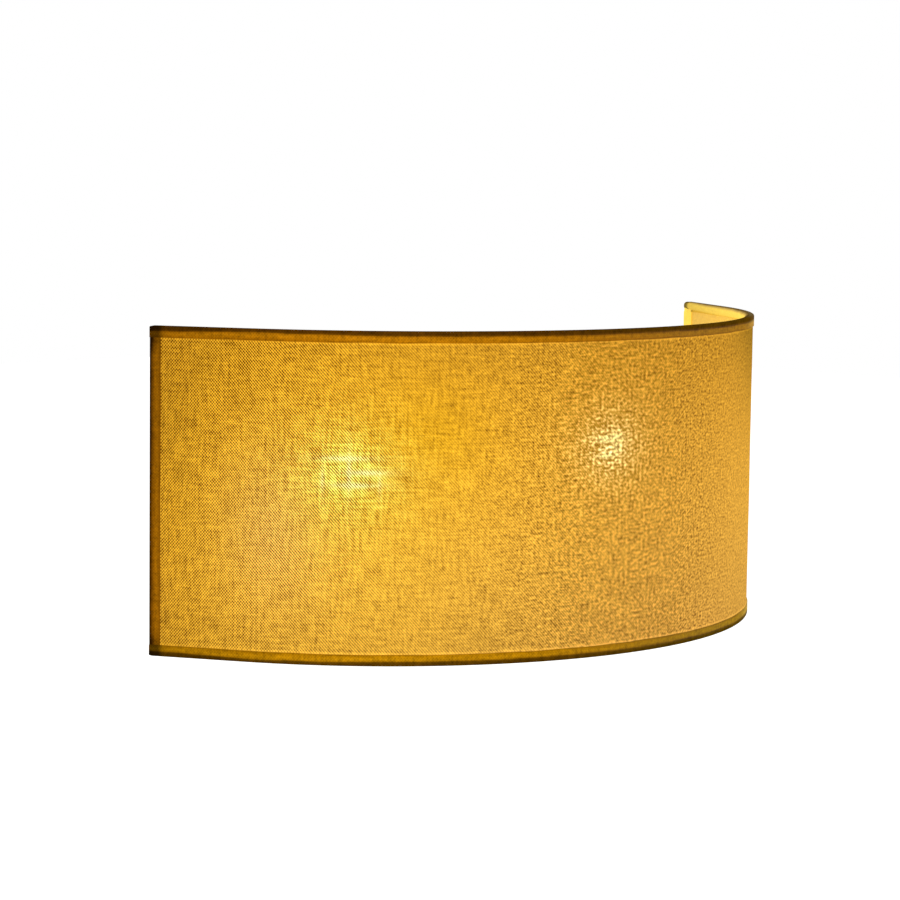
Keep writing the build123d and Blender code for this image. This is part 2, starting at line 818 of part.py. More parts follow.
flare_start = cap_start + cap_barrel_length
flare_end = flare_start + cap_flare_length
cap_end = flare_end + cap_skirt_length
cap_skirt_radius = cap_skirt_diameter / 2
bulb_cap = turned(
    (cap_start, thread_radius - 2 * cap_shell),
    (cap_start, thread_radius - cap_shell),
    (cap_start + cap_shell, thread_radius),
    (flare_start, thread_radius),
    (flare_end, cap_skirt_radius),
    (cap_end, cap_skirt_radius),
    (cap_end, cap_skirt_radius - cap_shell),
    (flare_end, cap_skirt_radius - cap_shell),
    (flare_start, thread_radius - cap_shell),
    (cap_start + 2 * cap_shell, thread_radius - cap_shell),
)
save_pair(bulb_cap, "bulb_cap")

# Round envelope: the neck stands in the cap's skirt and swells through a hollow shoulder.
globe_radius = bulb_diameter / 2
globe_x = bulb_start + bulb_length - globe_radius
neck_radius = bulb_neck_diameter / 2
neck_x = flare_end
shoulder_x = cap_end + seat_gap


def envelope_line(inset):
    """Half outline of the envelope, so far inside its outer face."""
    globe = globe_radius - inset
    neck = neck_radius - inset
    run = globe_x - shoulder_x
    hollow = (run**2 + neck**2 - globe**2) / (2 * (globe - neck))
    share = globe / (globe + hollow)
    touch = (globe_x - share * run, share * (neck + hollow))
    half_angle = atan2(touch[1], touch[0] - globe_x) / 2
    Line((neck_x, neck), (shoulder_x, neck))
    TangentArc((shoulder_x, neck), touch, tangent=(1, 0))
    middle = (globe_x + globe * cos(half_angle), globe * sin(half_angle))
    ThreePointArc(touch, middle, (globe_x + globe, 0))


with BuildPart() as bulb_glass:
    with BuildSketch(lamp_plane):
        with BuildLine():
            envelope_line(0)
            Line((globe_x + globe_radius, 0), (globe_x + globe_radius - glass_thickness, 0))
            envelope_line(glass_thickness)
            Line((neck_x, neck_radius), (neck_x, neck_radius - glass_thickness))
        make_face()
    revolve(axis=lamp_axis)
save_pair(bulb_glass, "bulb_glass")

stem_radius = stem_diameter / 2
stem_end = neck_x + stem_length
neck_inner = neck_radius - glass_thickness - seat_gap
bulb_stem = turned(
    (neck_x, neck_inner - glass_thickness),
    (neck_x, neck_inner),
    (neck_x + glass_thickness, neck_inner),
    (neck_x + stem_length / 2, stem_radius),
    (stem_end, stem_radius),
    (stem_end + stem_radius, stem_radius / 2),
    (stem_end + stem_radius, 0),
    (stem_end - stem_radius, 0),
    (stem_end - stem_radius, stem_radius - glass_thickness),
    (neck_x + stem_length / 2, stem_radius - glass_thickness),
)
save_pair(bulb_stem, "bulb_stem")

# Glowing rods round the stem, with their support wires.
filament_x = globe_x - filament_length / 2
filament_radius = filament_diameter / 2
spider_back = stem_end + stem_radius + seat_gap
with BuildPart() as bulb_filaments:
    with BuildSketch(Plane.YZ.offset(ear_x + filament_x)):
        with Locations((-lamp_reach, lamp_z)):
            with PolarLocations(filament_circle / 2, filament_count, start_angle=45):
                Circle(filament_radius)
    extrude(amount=filament_length)
    for spider_x in (filament_x - filament_wire, filament_x + filament_length):
        with BuildSketch(Plane.YZ.offset(ear_x + spider_x)):
            with Locations((-lamp_reach, lamp_z)):
                for angle in range(45, 225, 360 // filament_count):
                    Rectangle(filament_circle, filament_wire, rotation=angle)
        extrude(amount=filament_wire)
    with BuildSketch(Plane.YZ.offset(ear_x + spider_back)):
        with Locations((-lamp_reach, lamp_z)):
            Circle(filament_wire)
    extrude(amount=filament_x + filament_length - spider_back)
save_pair(bulb_filaments, "bulb_filaments")

# ---- Washers and thumb nuts on the studs ----

washer_back_y = hanger_back_y - hanger_thickness - seat_gap
nut_back_y = washer_back_y - washer_thickness - binding_clearance
with BuildPart() as washer:
    with BuildSketch(Plane.XZ.offset(-washer_back_y)):
        with Locations((stud_x, stud_z)):
            Circle(washer_diameter / 2)
            Circle(stud_diameter / 2 + hole_clearance, mode=Mode.SUBTRACT)
    extrude(amount=washer_thickness)
save_pair(washer, "washer")

with BuildPart() as thumb_nut:
    with BuildSketch(Plane.XZ.offset(-nut_back_y)):
        with Locations((stud_x, stud_z)):
            Circle(nut_diameter / 2)
            with PolarLocations(nut_diameter / 2, knurl_count):
                Circle(knurl_depth, mode=Mode.SUBTRACT)
    extrude(amount=nut_rim_height)
    with BuildSketch(Plane.XZ.offset(-nut_back_y)):
        with Locations((stud_x, stud_z)):
            Circle(nut_hub_diameter / 2)
    extrude(amount=nut_height)
    chamfer(faces().sort_by(Axis.Y)[0].edges(), length=knurl_depth)
    with BuildSketch(Plane.XZ.offset(-nut_back_y)):
        with Locations((stud_x, stud_z)):
            Circle(stud_diameter / 2 + binding_clearance)
    extrude(amount=nut_height, mode=Mode.SUBTRACT)
save_pair(thumb_nut, "thumb_nut")

# ---- Wiring: each lead leaves the block upwards, loops forward and drops into its nipple ----

barrel_top_z = lamp_z + barrel_length / 2
lead_start_z = barrel_top_z + wall_gap
lead_end_x = ear_x + insert_start - butt_gap
near_y = pole_y - lead_spacing / 2
far_y = pole_y + lead_spacing / 2
near_drop_y = -lamp_reach + lead_spacing / 2
far_drop_y = -lamp_reach - lead_spacing / 2


def corner_radii(route):
    """Arc radius at each corner: as large as its two runs allow."""
    points = [Vector(*point) for point in route]
    radii = []
    for before, corner, after in zip(points, points[1:], points[2:]):
        run = min((corner - before).length, (after - corner).length)
        turn = (corner - before).get_angle(after - corner)
        radii.append(0.45 * run / tan(radians(turn / 2)))
    return radii


def lead(route, diameter):
    radii = corner_radii(route)
    with BuildPart() as core:
        with BuildLine() as path:
            FilletPolyline(*route, radius=radii)
        with BuildSketch(Plane(origin=path.line @ 0, z_dir=path.line % 0)):
            Circle(diameter / 2)
        sweep(path=path.line)
    length = sum(edge.length for edge in path.edges())
    print("lead", round(length, 1), "mm, radii", [round(radius, 1) for radius in radii])
    return core


lead_routes = {
    "right_neutral_lead": [
        (pole_pitch, near_y, lead_start_z),
        (pole_pitch, near_y, 26),
        (pole_pitch + 1, near_drop_y, 25.5),
        (pole_pitch + 1, near_drop_y, lamp_z),
        (lead_end_x, near_drop_y, lamp_z),
    ],
    "left_live_lead": [
        (-pole_pitch, near_y, lead_start_z),
        (-pole_pitch, near_y, 26),
        (-pole_pitch - 1, near_drop_y, 25.5),
        (-pole_pitch - 1, near_drop_y, lamp_z),
        (-lead_end_x, near_drop_y, lamp_z),
    ],
    "right_live_lead": [
        (-pole_pitch, far_y, lead_start_z),
        (-pole_pitch, far_y, 33),
        (pole_pitch - 1, far_drop_y, 32.5),
        (pole_pitch - 1, far_drop_y, lamp_z),
        (lead_end_x, far_drop_y, lamp_z),
    ],
    "left_neutral_lead": [
        (pole_pitch, far_y, lead_start_z),
        (pole_pitch, far_y, 37),
        (1 - pole_pitch, far_drop_y, 36.5),
        (1 - pole_pitch, far_drop_y, lamp_z),
        (-lead_end_x, far_drop_y, lamp_z),
    ],
}
for name, route in lead_routes.items():
    save(lead(route, lead_diameter), name)

earth_route = [
    (0, pole_y, lead_start_z),
    (0, pole_y, 17),
    (0, tag_axis_y, 30),
    (earth_x, tag_axis_y, 30),
    (earth_x, tag_axis_y, tag_barrel_z + wall_gap),
]
save(lead(earth_route, earth_lead_diameter), "earth_lead")

print(
    "cover cut flat",
    round(2 * (front_radius * arc_half_angle + straight_end), 1),
    "x",
    shade_height,
    "mm, ends meet the arc at",
    round(degrees(arc_half_angle), 1),
    "degrees, screw pitch",
    thread_pitch,
)
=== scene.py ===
"""Half-round fabric wall light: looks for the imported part."""

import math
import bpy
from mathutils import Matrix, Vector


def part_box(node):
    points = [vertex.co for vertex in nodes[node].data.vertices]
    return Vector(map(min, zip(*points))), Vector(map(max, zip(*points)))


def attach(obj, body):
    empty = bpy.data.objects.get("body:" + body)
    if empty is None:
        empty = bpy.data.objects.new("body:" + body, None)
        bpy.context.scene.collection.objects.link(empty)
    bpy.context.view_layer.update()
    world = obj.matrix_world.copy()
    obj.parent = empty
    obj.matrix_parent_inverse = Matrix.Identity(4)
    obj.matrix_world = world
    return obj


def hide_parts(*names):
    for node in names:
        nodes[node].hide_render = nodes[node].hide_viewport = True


bl_info = {
    "name": "Half-round fabric wall light",
    "version": (1, 0, 0),
    "blender": (4, 5, 0),
    "location": "View3D > Sidebar > Wall light",
    "description": "Cloth shade, lining, metalwork, lampholders, bulbs and leads of a wall light",
    "category": "Object",
}

import bpy
from bpy.props import FloatProperty, FloatVectorProperty, PointerProperty
from mathutils import Matrix, Vector, noise

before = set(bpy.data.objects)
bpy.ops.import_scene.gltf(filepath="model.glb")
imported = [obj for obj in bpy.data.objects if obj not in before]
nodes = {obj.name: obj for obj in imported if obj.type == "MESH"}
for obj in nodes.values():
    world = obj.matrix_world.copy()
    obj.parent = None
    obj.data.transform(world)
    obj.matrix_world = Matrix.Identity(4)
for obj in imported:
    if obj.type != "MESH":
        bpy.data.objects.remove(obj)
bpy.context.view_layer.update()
top_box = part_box("top_binding")

WHITE = (1.0, 1.0, 1.0)
BLACK = (0.0, 0.0, 0.0)


def srgb(red, green, blue):
    """Linear colour from the 0 to 255 values that a screen shows."""
    channels = (c / 255 for c in (red, green, blue))
    return tuple(c / 12.92 if c <= 0.04045 else ((c + 0.055) / 1.055) ** 2.4 for c in channels)


# ---------------------------------------------------------------- what a user would change


def colour(name, description, default):
    return FloatVectorProperty(
        name=name, description=description, default=default, size=3, min=0, max=1, subtype="COLOR"
    )


def length(name, description, default):
    return FloatProperty(
        name=name, description=description, default=default, min=0, unit="LENGTH",
        subtype="DISTANCE",
    )


class ShadeSizes(bpy.types.PropertyGroup):
    width: length("Width", "Outer width of the shade at the wall", 0.4)
    depth: length("Depth", "How far the shade stands out", 0.15)
    height: length("Height", "Height of the shade", top_box[1].z * 2)
    radius: length("Front radius", "Radius of the round front", 0.2)
    cover: length("Cover thickness", "Thickness of the outer cloth", 0.0006)
    lining: length("Lining thickness", "Thickness of the lining", 0.0004)
    glue: length("Glue line", "Space between cover and lining", 0.00005)
    binding: length("Binding thickness", "Thickness of the folded strip", 0.0005)
    reach: length("Binding reach", "How far the strip covers the cloth", 0.0055)
    wire: length("Wire", "Diameter of the rim wire", 0.003)
    wall_gap: length("Wall gap", "Space between the strip and the wall", 0.0003)
    ease: length("Ease", "Space between the strip and what it covers", 0.00005)


class ClothLook(bpy.types.PropertyGroup):
    warp: length("Warp pitch", "Distance between the upright threads", 0.0007)
    weft: length("Weft pitch", "Distance between the level threads", 0.000785)
    yarn: colour("Yarn", "Colour of the cloth in daylight", srgb(150, 113, 22))
    glow_far: colour(
        "Glow, far", "Light through the cloth away from the bulbs", (0.266, 0.111, 0.010)
    )
    glow_close: colour(
        "Glow, close", "Light through the cloth beside the bulbs", (0.640, 0.315, 0.018)
    )
    glow_bulb: colour(
        "Glow, bulb", "Light where a bulb shines straight through", (0.62, 0.90, 0.14)
    )
    glow_speck: colour(
        "Glow, pinholes", "Light through the pinholes in front of a bulb", (0.90, 0.97, 0.42)
    )
    lining: colour("Lining", "Colour of the lining in daylight", srgb(196, 160, 96))
    lining_lit: colour("Lining, lit", "Light on the lining beside the bulbs", srgb(255, 206, 66))
    strip_lit: colour("Strip, lit", "Light on the strip's turned-in leg", srgb(255, 216, 92))


class MetalLook(bpy.types.PropertyGroup):
    coat: colour("Coat", "Powder coat of the plate and bracket", srgb(238, 235, 226))
    zinc: colour("Zinc", "Plated steel", srgb(186, 190, 194))
    brass: colour("Brass", "Nuts and terminals", srgb(196, 158, 82))
    nickel: colour("Nickel", "Bulb caps", srgb(205, 200, 186))


class Wiring(bpy.types.PropertyGroup):
    lead: length("Lead", "Outer diameter of a live or neutral lead", 0.0018)
    earth_lead: length("Earth lead", "Outer diameter of the earth lead", 0.002)
    live: colour("Live", "Sleeve of the live leads", srgb(92, 52, 28))
    neutral: colour("Neutral", "Sleeve of the neutral leads", srgb(40, 84, 168))
    earth: colour("Earth", "Sleeve of the earth lead", srgb(54, 132, 48))
    stripe: colour("Stripe", "Stripe of the earth lead", srgb(232, 212, 40))


class StageLook(bpy.types.PropertyGroup):
    floor_drop: length("Floor", "Height of the light above the floor", 1.25)
    lamp_power: FloatProperty(
        name="Key light", description="Power of the key light", default=16.0, unit="POWER"
    )
    world_level: FloatProperty(
        name="World", description="Strength of the even light", default=0.78, min=0
    )
    lens: FloatProperty(
        name="Lens", description="Focal length on a 36 mm sensor", default=116.2, unit="CAMERA"
    )
    standing: FloatVectorProperty(
        name="Camera place", description="Where the camera stands", size=3, unit="LENGTH",
        subtype="TRANSLATION", default=(-1.078754, -1.062827, 0.163775),
    )
    turn: FloatVectorProperty(
        name="Camera turn", description="Yaw, pitch and roll", size=3, unit="ROTATION",
        subtype="EULER", default=(math.radians(-45.597), math.radians(-5.918), math.radians(0.733)),
    )


# ---------------------------------------------------------------- shader maths


class Field:
    """A shader socket that takes part in Python sums; each sum adds its Math node."""

    def __init__(self, recipe, socket):
        self.recipe = recipe
        self.socket = socket

    def maths(self, operation, *others, clamp=False):
        return self.recipe.maths(operation, self, *others, clamp=clamp)

    def __add__(self, other):
        return self.maths("ADD", other)

    __radd__ = __add__

    def __mul__(self, other):
        return self.maths("MULTIPLY", other)

    __rmul__ = __mul__

    def __sub__(self, other):
        return self.maths("SUBTRACT", other)

    def __rsub__(self, other):
        return self.recipe.maths("SUBTRACT", other, self)

    def __truediv__(self, other):
        return self.maths("DIVIDE", other)

    def __rtruediv__(self, other):
        return self.recipe.maths("DIVIDE", other, self)

    def __pow__(self, other):
        return self.maths("POWER", other)

    def __abs__(self):
        return self.maths("ABSOLUTE")

    def sine(self):
        return self.maths("SINE")

    def cosine(self):
        return self.maths("COSINE")

    def whole(self):
        return self.maths("FLOOR")

    def above(self, level):
        return self.maths("GREATER_THAN", level)

    def between(self, low, high):
        """0 at low, 1 at high, smooth in between."""
        return self.recipe.node(
            "ShaderNodeMapRange",
            {"interpolation_type": "SMOOTHSTEP", "clamp": True},
            {"Value": self, "From Min": low, "From Max": high},
        )

    def clamped(self):
        return self.maths("ADD", 0.0, clamp=True)


class Recipe:
    """The nodes of one new material, or of a world that is handed in."""

    def __init__(self, name, owner=None):
        self.owner = owner or bpy.data.materials.new(name)
        self.owner.use_nodes = True
        self.tree = self.owner.node_tree
        self.tree.nodes.clear()

    def node(self, kind, settings=None, sockets=None, output=0):
        """Adds a node: its settings first, then a value or a link for each socket."""
        made = self.tree.nodes.new(kind)
        for key, value in (settings or {}).items():
            if key == "stops":
                ramp = made.color_ramp
                while len(ramp.elements) < len(value):
                    ramp.elements.new(1.0)
                for element, (place, shade) in zip(ramp.elements, value):
                    element.position = place
                    element.color = (*shade, 1.0)
            else:
                setattr(made, key, value)
        for key, value in (sockets or {}).items():
            socket = made.inputs[key]
            if isinstance(value, Field):
                self.tree.links.new(value.socket, socket)
            elif socket.type == "RGBA":
                socket.default_value = (*value, 1.0)
            else:
                socket.default_value = value
        return Field(self, made.outputs[output]) if len(made.outputs) else None

    def maths(self, operation, *values, clamp=False):
        settings = {"operation": operation, "use_clamp": clamp}
        return self.node("ShaderNodeMath", settings, dict(enumerate(values)))

    def vector(self, x, y, z=0.0):
        return self.node("ShaderNodeCombineXYZ", {}, {0: x, 1: y, 2: z})

    def mix(self, share, low, high, blend="MIX"):
        settings = {"data_type": "RGBA", "blend_type": blend}
        return self.node("ShaderNodeMix", settings, {0: share, 6: low, 7: high}, 2)

    def multiply(self, shade, other):
        return self.mix(1.0, shade, other, "MULTIPLY")

    def cast(self, shade, share, other):
        """A colour that is multiplied by another one where the share is 1."""
        return self.multiply(shade, self.mix(share, WHITE, other))

    def tint(self, shade, level):
        """A colour times a number."""
        return self.node(
            "ShaderNodeVectorMath", {"operation": "SCALE"}, {0: shade, "Scale": level}
        )

    def stretched(self, spot, stretch):
        return self.node("ShaderNodeVectorMath", {"operation": "MULTIPLY"}, {0: spot, 1: stretch})

    def thread_place(self, stretch=(1, 1, 1)):
        """The cloth's own place: along the thread, across it, and a mark of the side or fold."""
        spot = self.node("ShaderNodeAttribute", {"attribute_name": "thread"}, output="Vector")
        return self.stretched(spot, stretch)

    def part_place(self):
        return self.stretched(self.node("ShaderNodeTexCoord", output="Object"), (1, 1, 1))

    def axes(self, place, names):
        return [self.node("ShaderNodeSeparateXYZ", {}, {0: place}, name) for name in names]

    def clouds(self, place, scale, detail):
        return self.node(
            "ShaderNodeTexNoise", {}, {"Vector": place, "Scale": scale, "Detail": detail}, "Fac"
        )

    def drift(self, along_scale, across_scale, detail=1.0):
        """Tones about 0 that are drawn out along the thread or across it."""
        return self.clouds(self.thread_place((along_scale, across_scale, 1)), 1.0, detail) - 0.5

    def surface(self, bump=None, bump_depth=0.0001, strength=1.0, **sockets):
        if bump is not None:
            sockets["Normal"] = self.node(
                "ShaderNodeBump", {}, {"Height": bump, "Distance": bump_depth, "Strength": strength}
            )
        named = {
            key.replace("_", " ").title().replace("Ior", "IOR"): value
            for key, value in sockets.items()
        }
        shader = self.node("ShaderNodeBsdfPrincipled", {}, named)
        self.node("ShaderNodeOutputMaterial", {}, {"Surface": shader})
        return self.owner

    def seen_plainly(self):
        """1 for the rays that show the backdrop itself: straight, mirrored or through glass."""
        kinds = ("Is Camera Ray", "Is Glossy Ray", "Is Transmission Ray")
        straight, mirrored, through = (
            self.node("ShaderNodeLightPath", output=kind) for kind in kinds
        )
        return (straight + mirrored + through).clamped()


# ---------------------------------------------------------------- the shade's plan


class Plan:
    """The shade's line in plan: a round front and straight ends that meet it without a kink."""

    def __init__(self, sizes):
        self.radius = sizes.radius
        self.centre_y = sizes.radius - sizes.depth
        to_end = math.hypot(sizes.width / 2, self.centre_y)
        self.angle = math.atan2(sizes.width / 2, self.centre_y) - math.acos(sizes.radius / to_end)
        self.straight = math.sqrt(to_end**2 - sizes.radius**2)
        self.arc = self.radius * self.angle
        self.half = self.arc + self.straight
        self.laminate = sizes.cover + sizes.glue + sizes.lining
        self.fold = sizes.wire / 2 + sizes.ease
        self.fold_outer = self.fold + sizes.binding
        self.wire_in = self.laminate + sizes.ease + self.fold
        sine, cosine = math.sin(self.angle), math.cos(self.angle)
        self.end = (sizes.wall_gap + self.fold_outer * (1 - sine) + self.wire_in * cosine) / sine

    def at(self, along, inset):
        """Point in plan: a distance along the outer face from its middle, and an inset from it."""
        side = 1 if along >= 0 else -1
        turn = min(abs(along), self.arc) / self.radius
        past = max(0.0, abs(along) - self.arc)
        inward = Vector((-side * math.sin(turn), math.cos(turn)))
        onward = Vector((side * math.cos(turn), math.sin(turn)))
        return Vector((0, self.centre_y)) - inward * (self.radius - inset) + onward * past


FOLD_STEP = 0.0002
RUN_STEP = 0.0006
SAME_SPOT = 1e-7


def steps(start, stop, longest):
    """Evenly spaced numbers from start to stop, at most the longest step apart."""
    count = max(1, math.ceil(abs(stop - start) / longest))
    return [start + (stop - start) * i / count for i in range(count + 1)]


def rounded(corners, radii):
    """Points with their left-hand normals along a folded line, with each fold rounded."""
    corners = [Vector(corner) for corner in corners]
    spots = corners[:1]
    for before, corner, after, radius in zip(corners, corners[1:], corners[2:], radii):
        back, on = (before - corner).normalized(), (after - corner).normalized()
        half = math.acos(max(-1, min(1, back.dot(on)))) / 2
        cut = radius / math.tan(half)
        first, last = corner + back * cut, corner + on * cut
        middle = corner + (back + on).normalized() * (radius / math.sin(half))
        a = math.atan2(first.y - middle.y, first.x - middle.x)
        b = math.atan2(last.y - middle.y, last.x - middle.x)
        b += math.tau * round((a - b) / math.tau)
        count = max(3, math.ceil(abs(b - a) * radius / FOLD_STEP))
        turns = (a + (b - a) * k / count for k in range(count + 1))
        spots += [middle + Vector((math.cos(t), math.sin(t))) * radius for t in turns]
    spots.append(corners[-1])
    filled = spots[:1]
    for spot in spots[1:]:
        start = filled[-1]
        gap = (spot - start).length
        if gap >= SAME_SPOT:
            pieces = max(1, math.ceil(gap / RUN_STEP))
            filled += [start.lerp(spot, k / pieces) for k in range(1, pieces + 1)]
    normals = []
    for i in range(len(filled)):
        along = filled[min(i + 1, len(filled) - 1)] - filled[max(i - 1, 0)]
        normals.append(Vector((-along.y, along.x)).normalized())
    return filled, normals


# ---------------------------------------------------------------- mesh helpers


def new_piece(name, rings, thread, material):
    """A closed skin over rings of points, on the shade, with each point's place on its threads."""
    mesh = bpy.data.meshes.new(name)
    mesh.from_pydata([tuple(spot) for ring in rings for spot in ring], [], skin(rings))
    marks = mesh.attributes.new("thread", "FLOAT_VECTOR", "POINT")
    marks.data.foreach_set("vector", [c for t in thread for c in t])
    mesh.materials.append(material)
    mesh.update()
    if sum(face.center.dot(face.normal) * face.area for face in mesh.polygons) < 0:
        mesh.flip_normals()
    mesh.polygons.foreach_set("use_smooth", [True] * len(mesh.polygons))
    piece = bpy.data.objects.new(name, mesh)
    bpy.context.scene.collection.objects.link(piece)
    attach(piece, "shade")
    return piece


def skin(rings):
    """Faces between rings of equal count, and a cap on each end."""
    count = len(rings[0])
    faces = []
    for i in range(len(rings) - 1):
        for k in range(count):
            a, b = i * count + k, i * count + (k + 1) % count
            faces.append((a, a + count, b + count, b))
    last = (len(rings) - 1) * count
    faces.append(tuple(range(count)))
    faces.append(tuple(last + k for k in reversed(range(count))))
    return faces


def finish_nodes(names, material):
    """Gives CAD pieces their material."""
    for name in names:
        mesh = nodes[name].data
        mesh.materials.clear()
        mesh.materials.append(material)


def both(name):
    """Names of the left piece and the right one."""
    return ["left_" + name, "right_" + name]


# ---------------------------------------------------------------- cloth

HALF_HEIGHT = 0.079
COVER_STEP, LINING_STEP = 0.0025, 0.004
# how far the cloth swells, and how far from its edges the strips hold it flat
SWELL, HELD_FLAT = 0.00016, 0.02
# where the bulbs stand along the cloth, and how far their light spreads
BULB_ALONG, BULB_SPREAD = 0.158, (0.202, 0.193)
# places on the cloth: along it from its middle, across it, and how wide and high they reach
CRISP_CORNERS = (0.212, 0.06, 0.055, 0.06)
FAINT_WEAVE = (-0.125, 0.035, 0.045, 0.045)
EVEN_WEAVE = (-0.200, -0.034, 0.046, 0.050)
LEFT_BULB = (-0.1655, 0.0125, 0.024, 0.021)
RIGHT_PINHOLES = (-0.0342, 0.0224, 0.017, 0.015)
# the same with the colour that the light is multiplied by
PALE_PATCH = (-0.205, -0.012, 0.034, 0.050), (1.0, 1.06, 4.5)
AMBER_PATCH = (-0.128, 0.032, 0.050, 0.042), (1.0, 0.98, 0.2)
GREEN_PATCH = (-0.172, -0.004, 0.045, 0.050), (0.87, 0.98, 1.0)
# the same with the share by which the cloth is lighter there, or darker below 0
UNEVEN_LIGHT = (
    (-0.222, -0.050, 0.035, 0.030, 0.14),
    (-0.164, -0.028, 0.022, 0.016, 0.12),
    (-0.095, -0.070, 0.035, 0.018, -0.10),
    (0.045, -0.070, 0.03, 0.018, 0.10),
    (-0.252, 0.038, 0.022, 0.032, -0.13),
    (-0.252, -0.045, 0.022, 0.050, 0.12),
    (0.080, 0.070, 0.045, 0.022, -0.20),
)
# bright spots of bulb light painted where it comes through the gaps between threads, in front of
# the left bulb, then the right one, with their strength
GAP_LIGHT = (
    (-0.1675, 0.0192, 0.0108, 0.0012, 1.0),
    (-0.1580, 0.0126, 0.0092, 0.0014, 1.0),
    (-0.1635, 0.0066, 0.0098, 0.0013, 1.0),
    (-0.1660, 0.0125, 0.0011, 0.0085, 0.8),
    (-0.1785, 0.0090, 0.0009, 0.0060, 0.5),
    (-0.1516, 0.0071, 0.0009, 0.0055, 0.35),
    (-0.0375, 0.0262, 0.0036, 0.0014, 0.9),
    (-0.0305, 0.0272, 0.0030, 0.0016, 0.9),
    (-0.0300, 0.0222, 0.0022, 0.0030, 0.6),
    (-0.0365, 0.0182, 0.0042, 0.0011, 1.0),
)
# what the light is multiplied by at the bottom and the top, and at the left and from the middle
BOTTOM_CAST, TOP_CAST = (1.06, 1.15, 1.9), (0.94, 0.86, 0.55)
LEFT_CAST, MIDDLE_CAST = (0.97, 0.96, 0.35), (1.0, 1.0, 1.7)
# dense places turn brown and open ones pale, as light through cloth does
DENSE, OPEN = (0.10, 0.02, 0.0), (1.90, 1.98, 2.3)
# scales of the noise along and across the cloth
SWAY = (60, 60)
LEAN = (11, 15)
MOTTLE = (600, 780)
SLUB = (760, 75)
PICK = (75, 760)
HEM_WANDER = (60, 1)
YARN_RUN = 170
# keeps the noise of neighbouring threads apart, and the upright ones from the level ones
THREAD_STEP, THREAD_START, LEVEL_LAYER = 0.617, 0.31, 3.3


def soft_spot(along, across, at_along, at_across, wide, high):
    """Round soft light with its middle at a place on the cloth."""
    x = (along - at_along) / wide
    y = (across - at_across) / high
    return 1 / (1 + x * x + y * y) ** 2


def bulb_light(along, across):
    """Light of both bulbs on the cloth, one on each side of the middle."""
    left = soft_spot(along, across, -BULB_ALONG, 0.0, *BULB_SPREAD)
    return left + soft_spot(along, across, BULB_ALONG, 0.0, *BULB_SPREAD)


def ribs(recipe, look, along, across):
    """The two slants of a plain weave, which sway a little."""
    sway = recipe.drift(*SWAY) * 2.4
    warp = along * (math.pi / look.warp) + sway
    weft = across * (math.pi / look.weft) + sway * 0.7
    return (warp + weft).cosine(), (warp - weft).cosine()


def thread_numbers(look, along, across):
    """Which upright and which level thread a place lies on."""
    return (along / look.warp).whole(), (across / look.weft).whole()


def uneven_yarn(recipe, look, along, across):
    """Tones that run along single threads."""
    warp_id, weft_id = thread_numbers(look, along, across)
    upright = recipe.vector(warp_id * THREAD_STEP + THREAD_START, across * YARN_RUN)
    level = recipe.vector(along * YARN_RUN, weft_id * THREAD_STEP + THREAD_START, LEVEL_LAYER)
    return recipe.clouds(upright, 1.0, 2.0) + recipe.clouds(level, 1.0, 2.0) - 1.0


def uneven_crossings(recipe, look, along, across):
    """One tone for each place where two threads cross."""
    place = recipe.vector(*thread_numbers(look, along, across))
    settings = {"noise_dimensions": "2D"}
    return recipe.node("ShaderNodeTexWhiteNoise", settings, {"Vector": place}, "Value") - 0.5


def light_through(recipe, look, along, across):
    """Light that the whole cover lets through, with its colour casts and uneven patches."""
    close = ((bulb_light(along, across) - 0.6) * 2.0).clamped()
    light = recipe.mix(close, look.glow_far, look.glow_close)
    height = across * (0.5 / HALF_HEIGHT) + 0.5
    light = recipe.multiply(light, recipe.mix(height, BOTTOM_CAST, TOP_CAST))
    light = recipe.multiply(light, recipe.mix(along.between(-0.27, 0.0), LEFT_CAST, MIDDLE_CAST))
    for place, shade in (PALE_PATCH, AMBER_PATCH):
        light = recipe.cast(light, soft_spot(along, across, *place), shade)
    light = recipe.tint(light, 1.0 - along.between(0.06, 0.12) * (0.10 + height**4 * 0.8))
    for *place, more in UNEVEN_LIGHT:
        light = recipe.tint(light, soft_spot(along, across, *place) * more + 1.0)
    place, shade = GREEN_PATCH
    return recipe.cast(light, soft_spot(along, across, *place), shade)


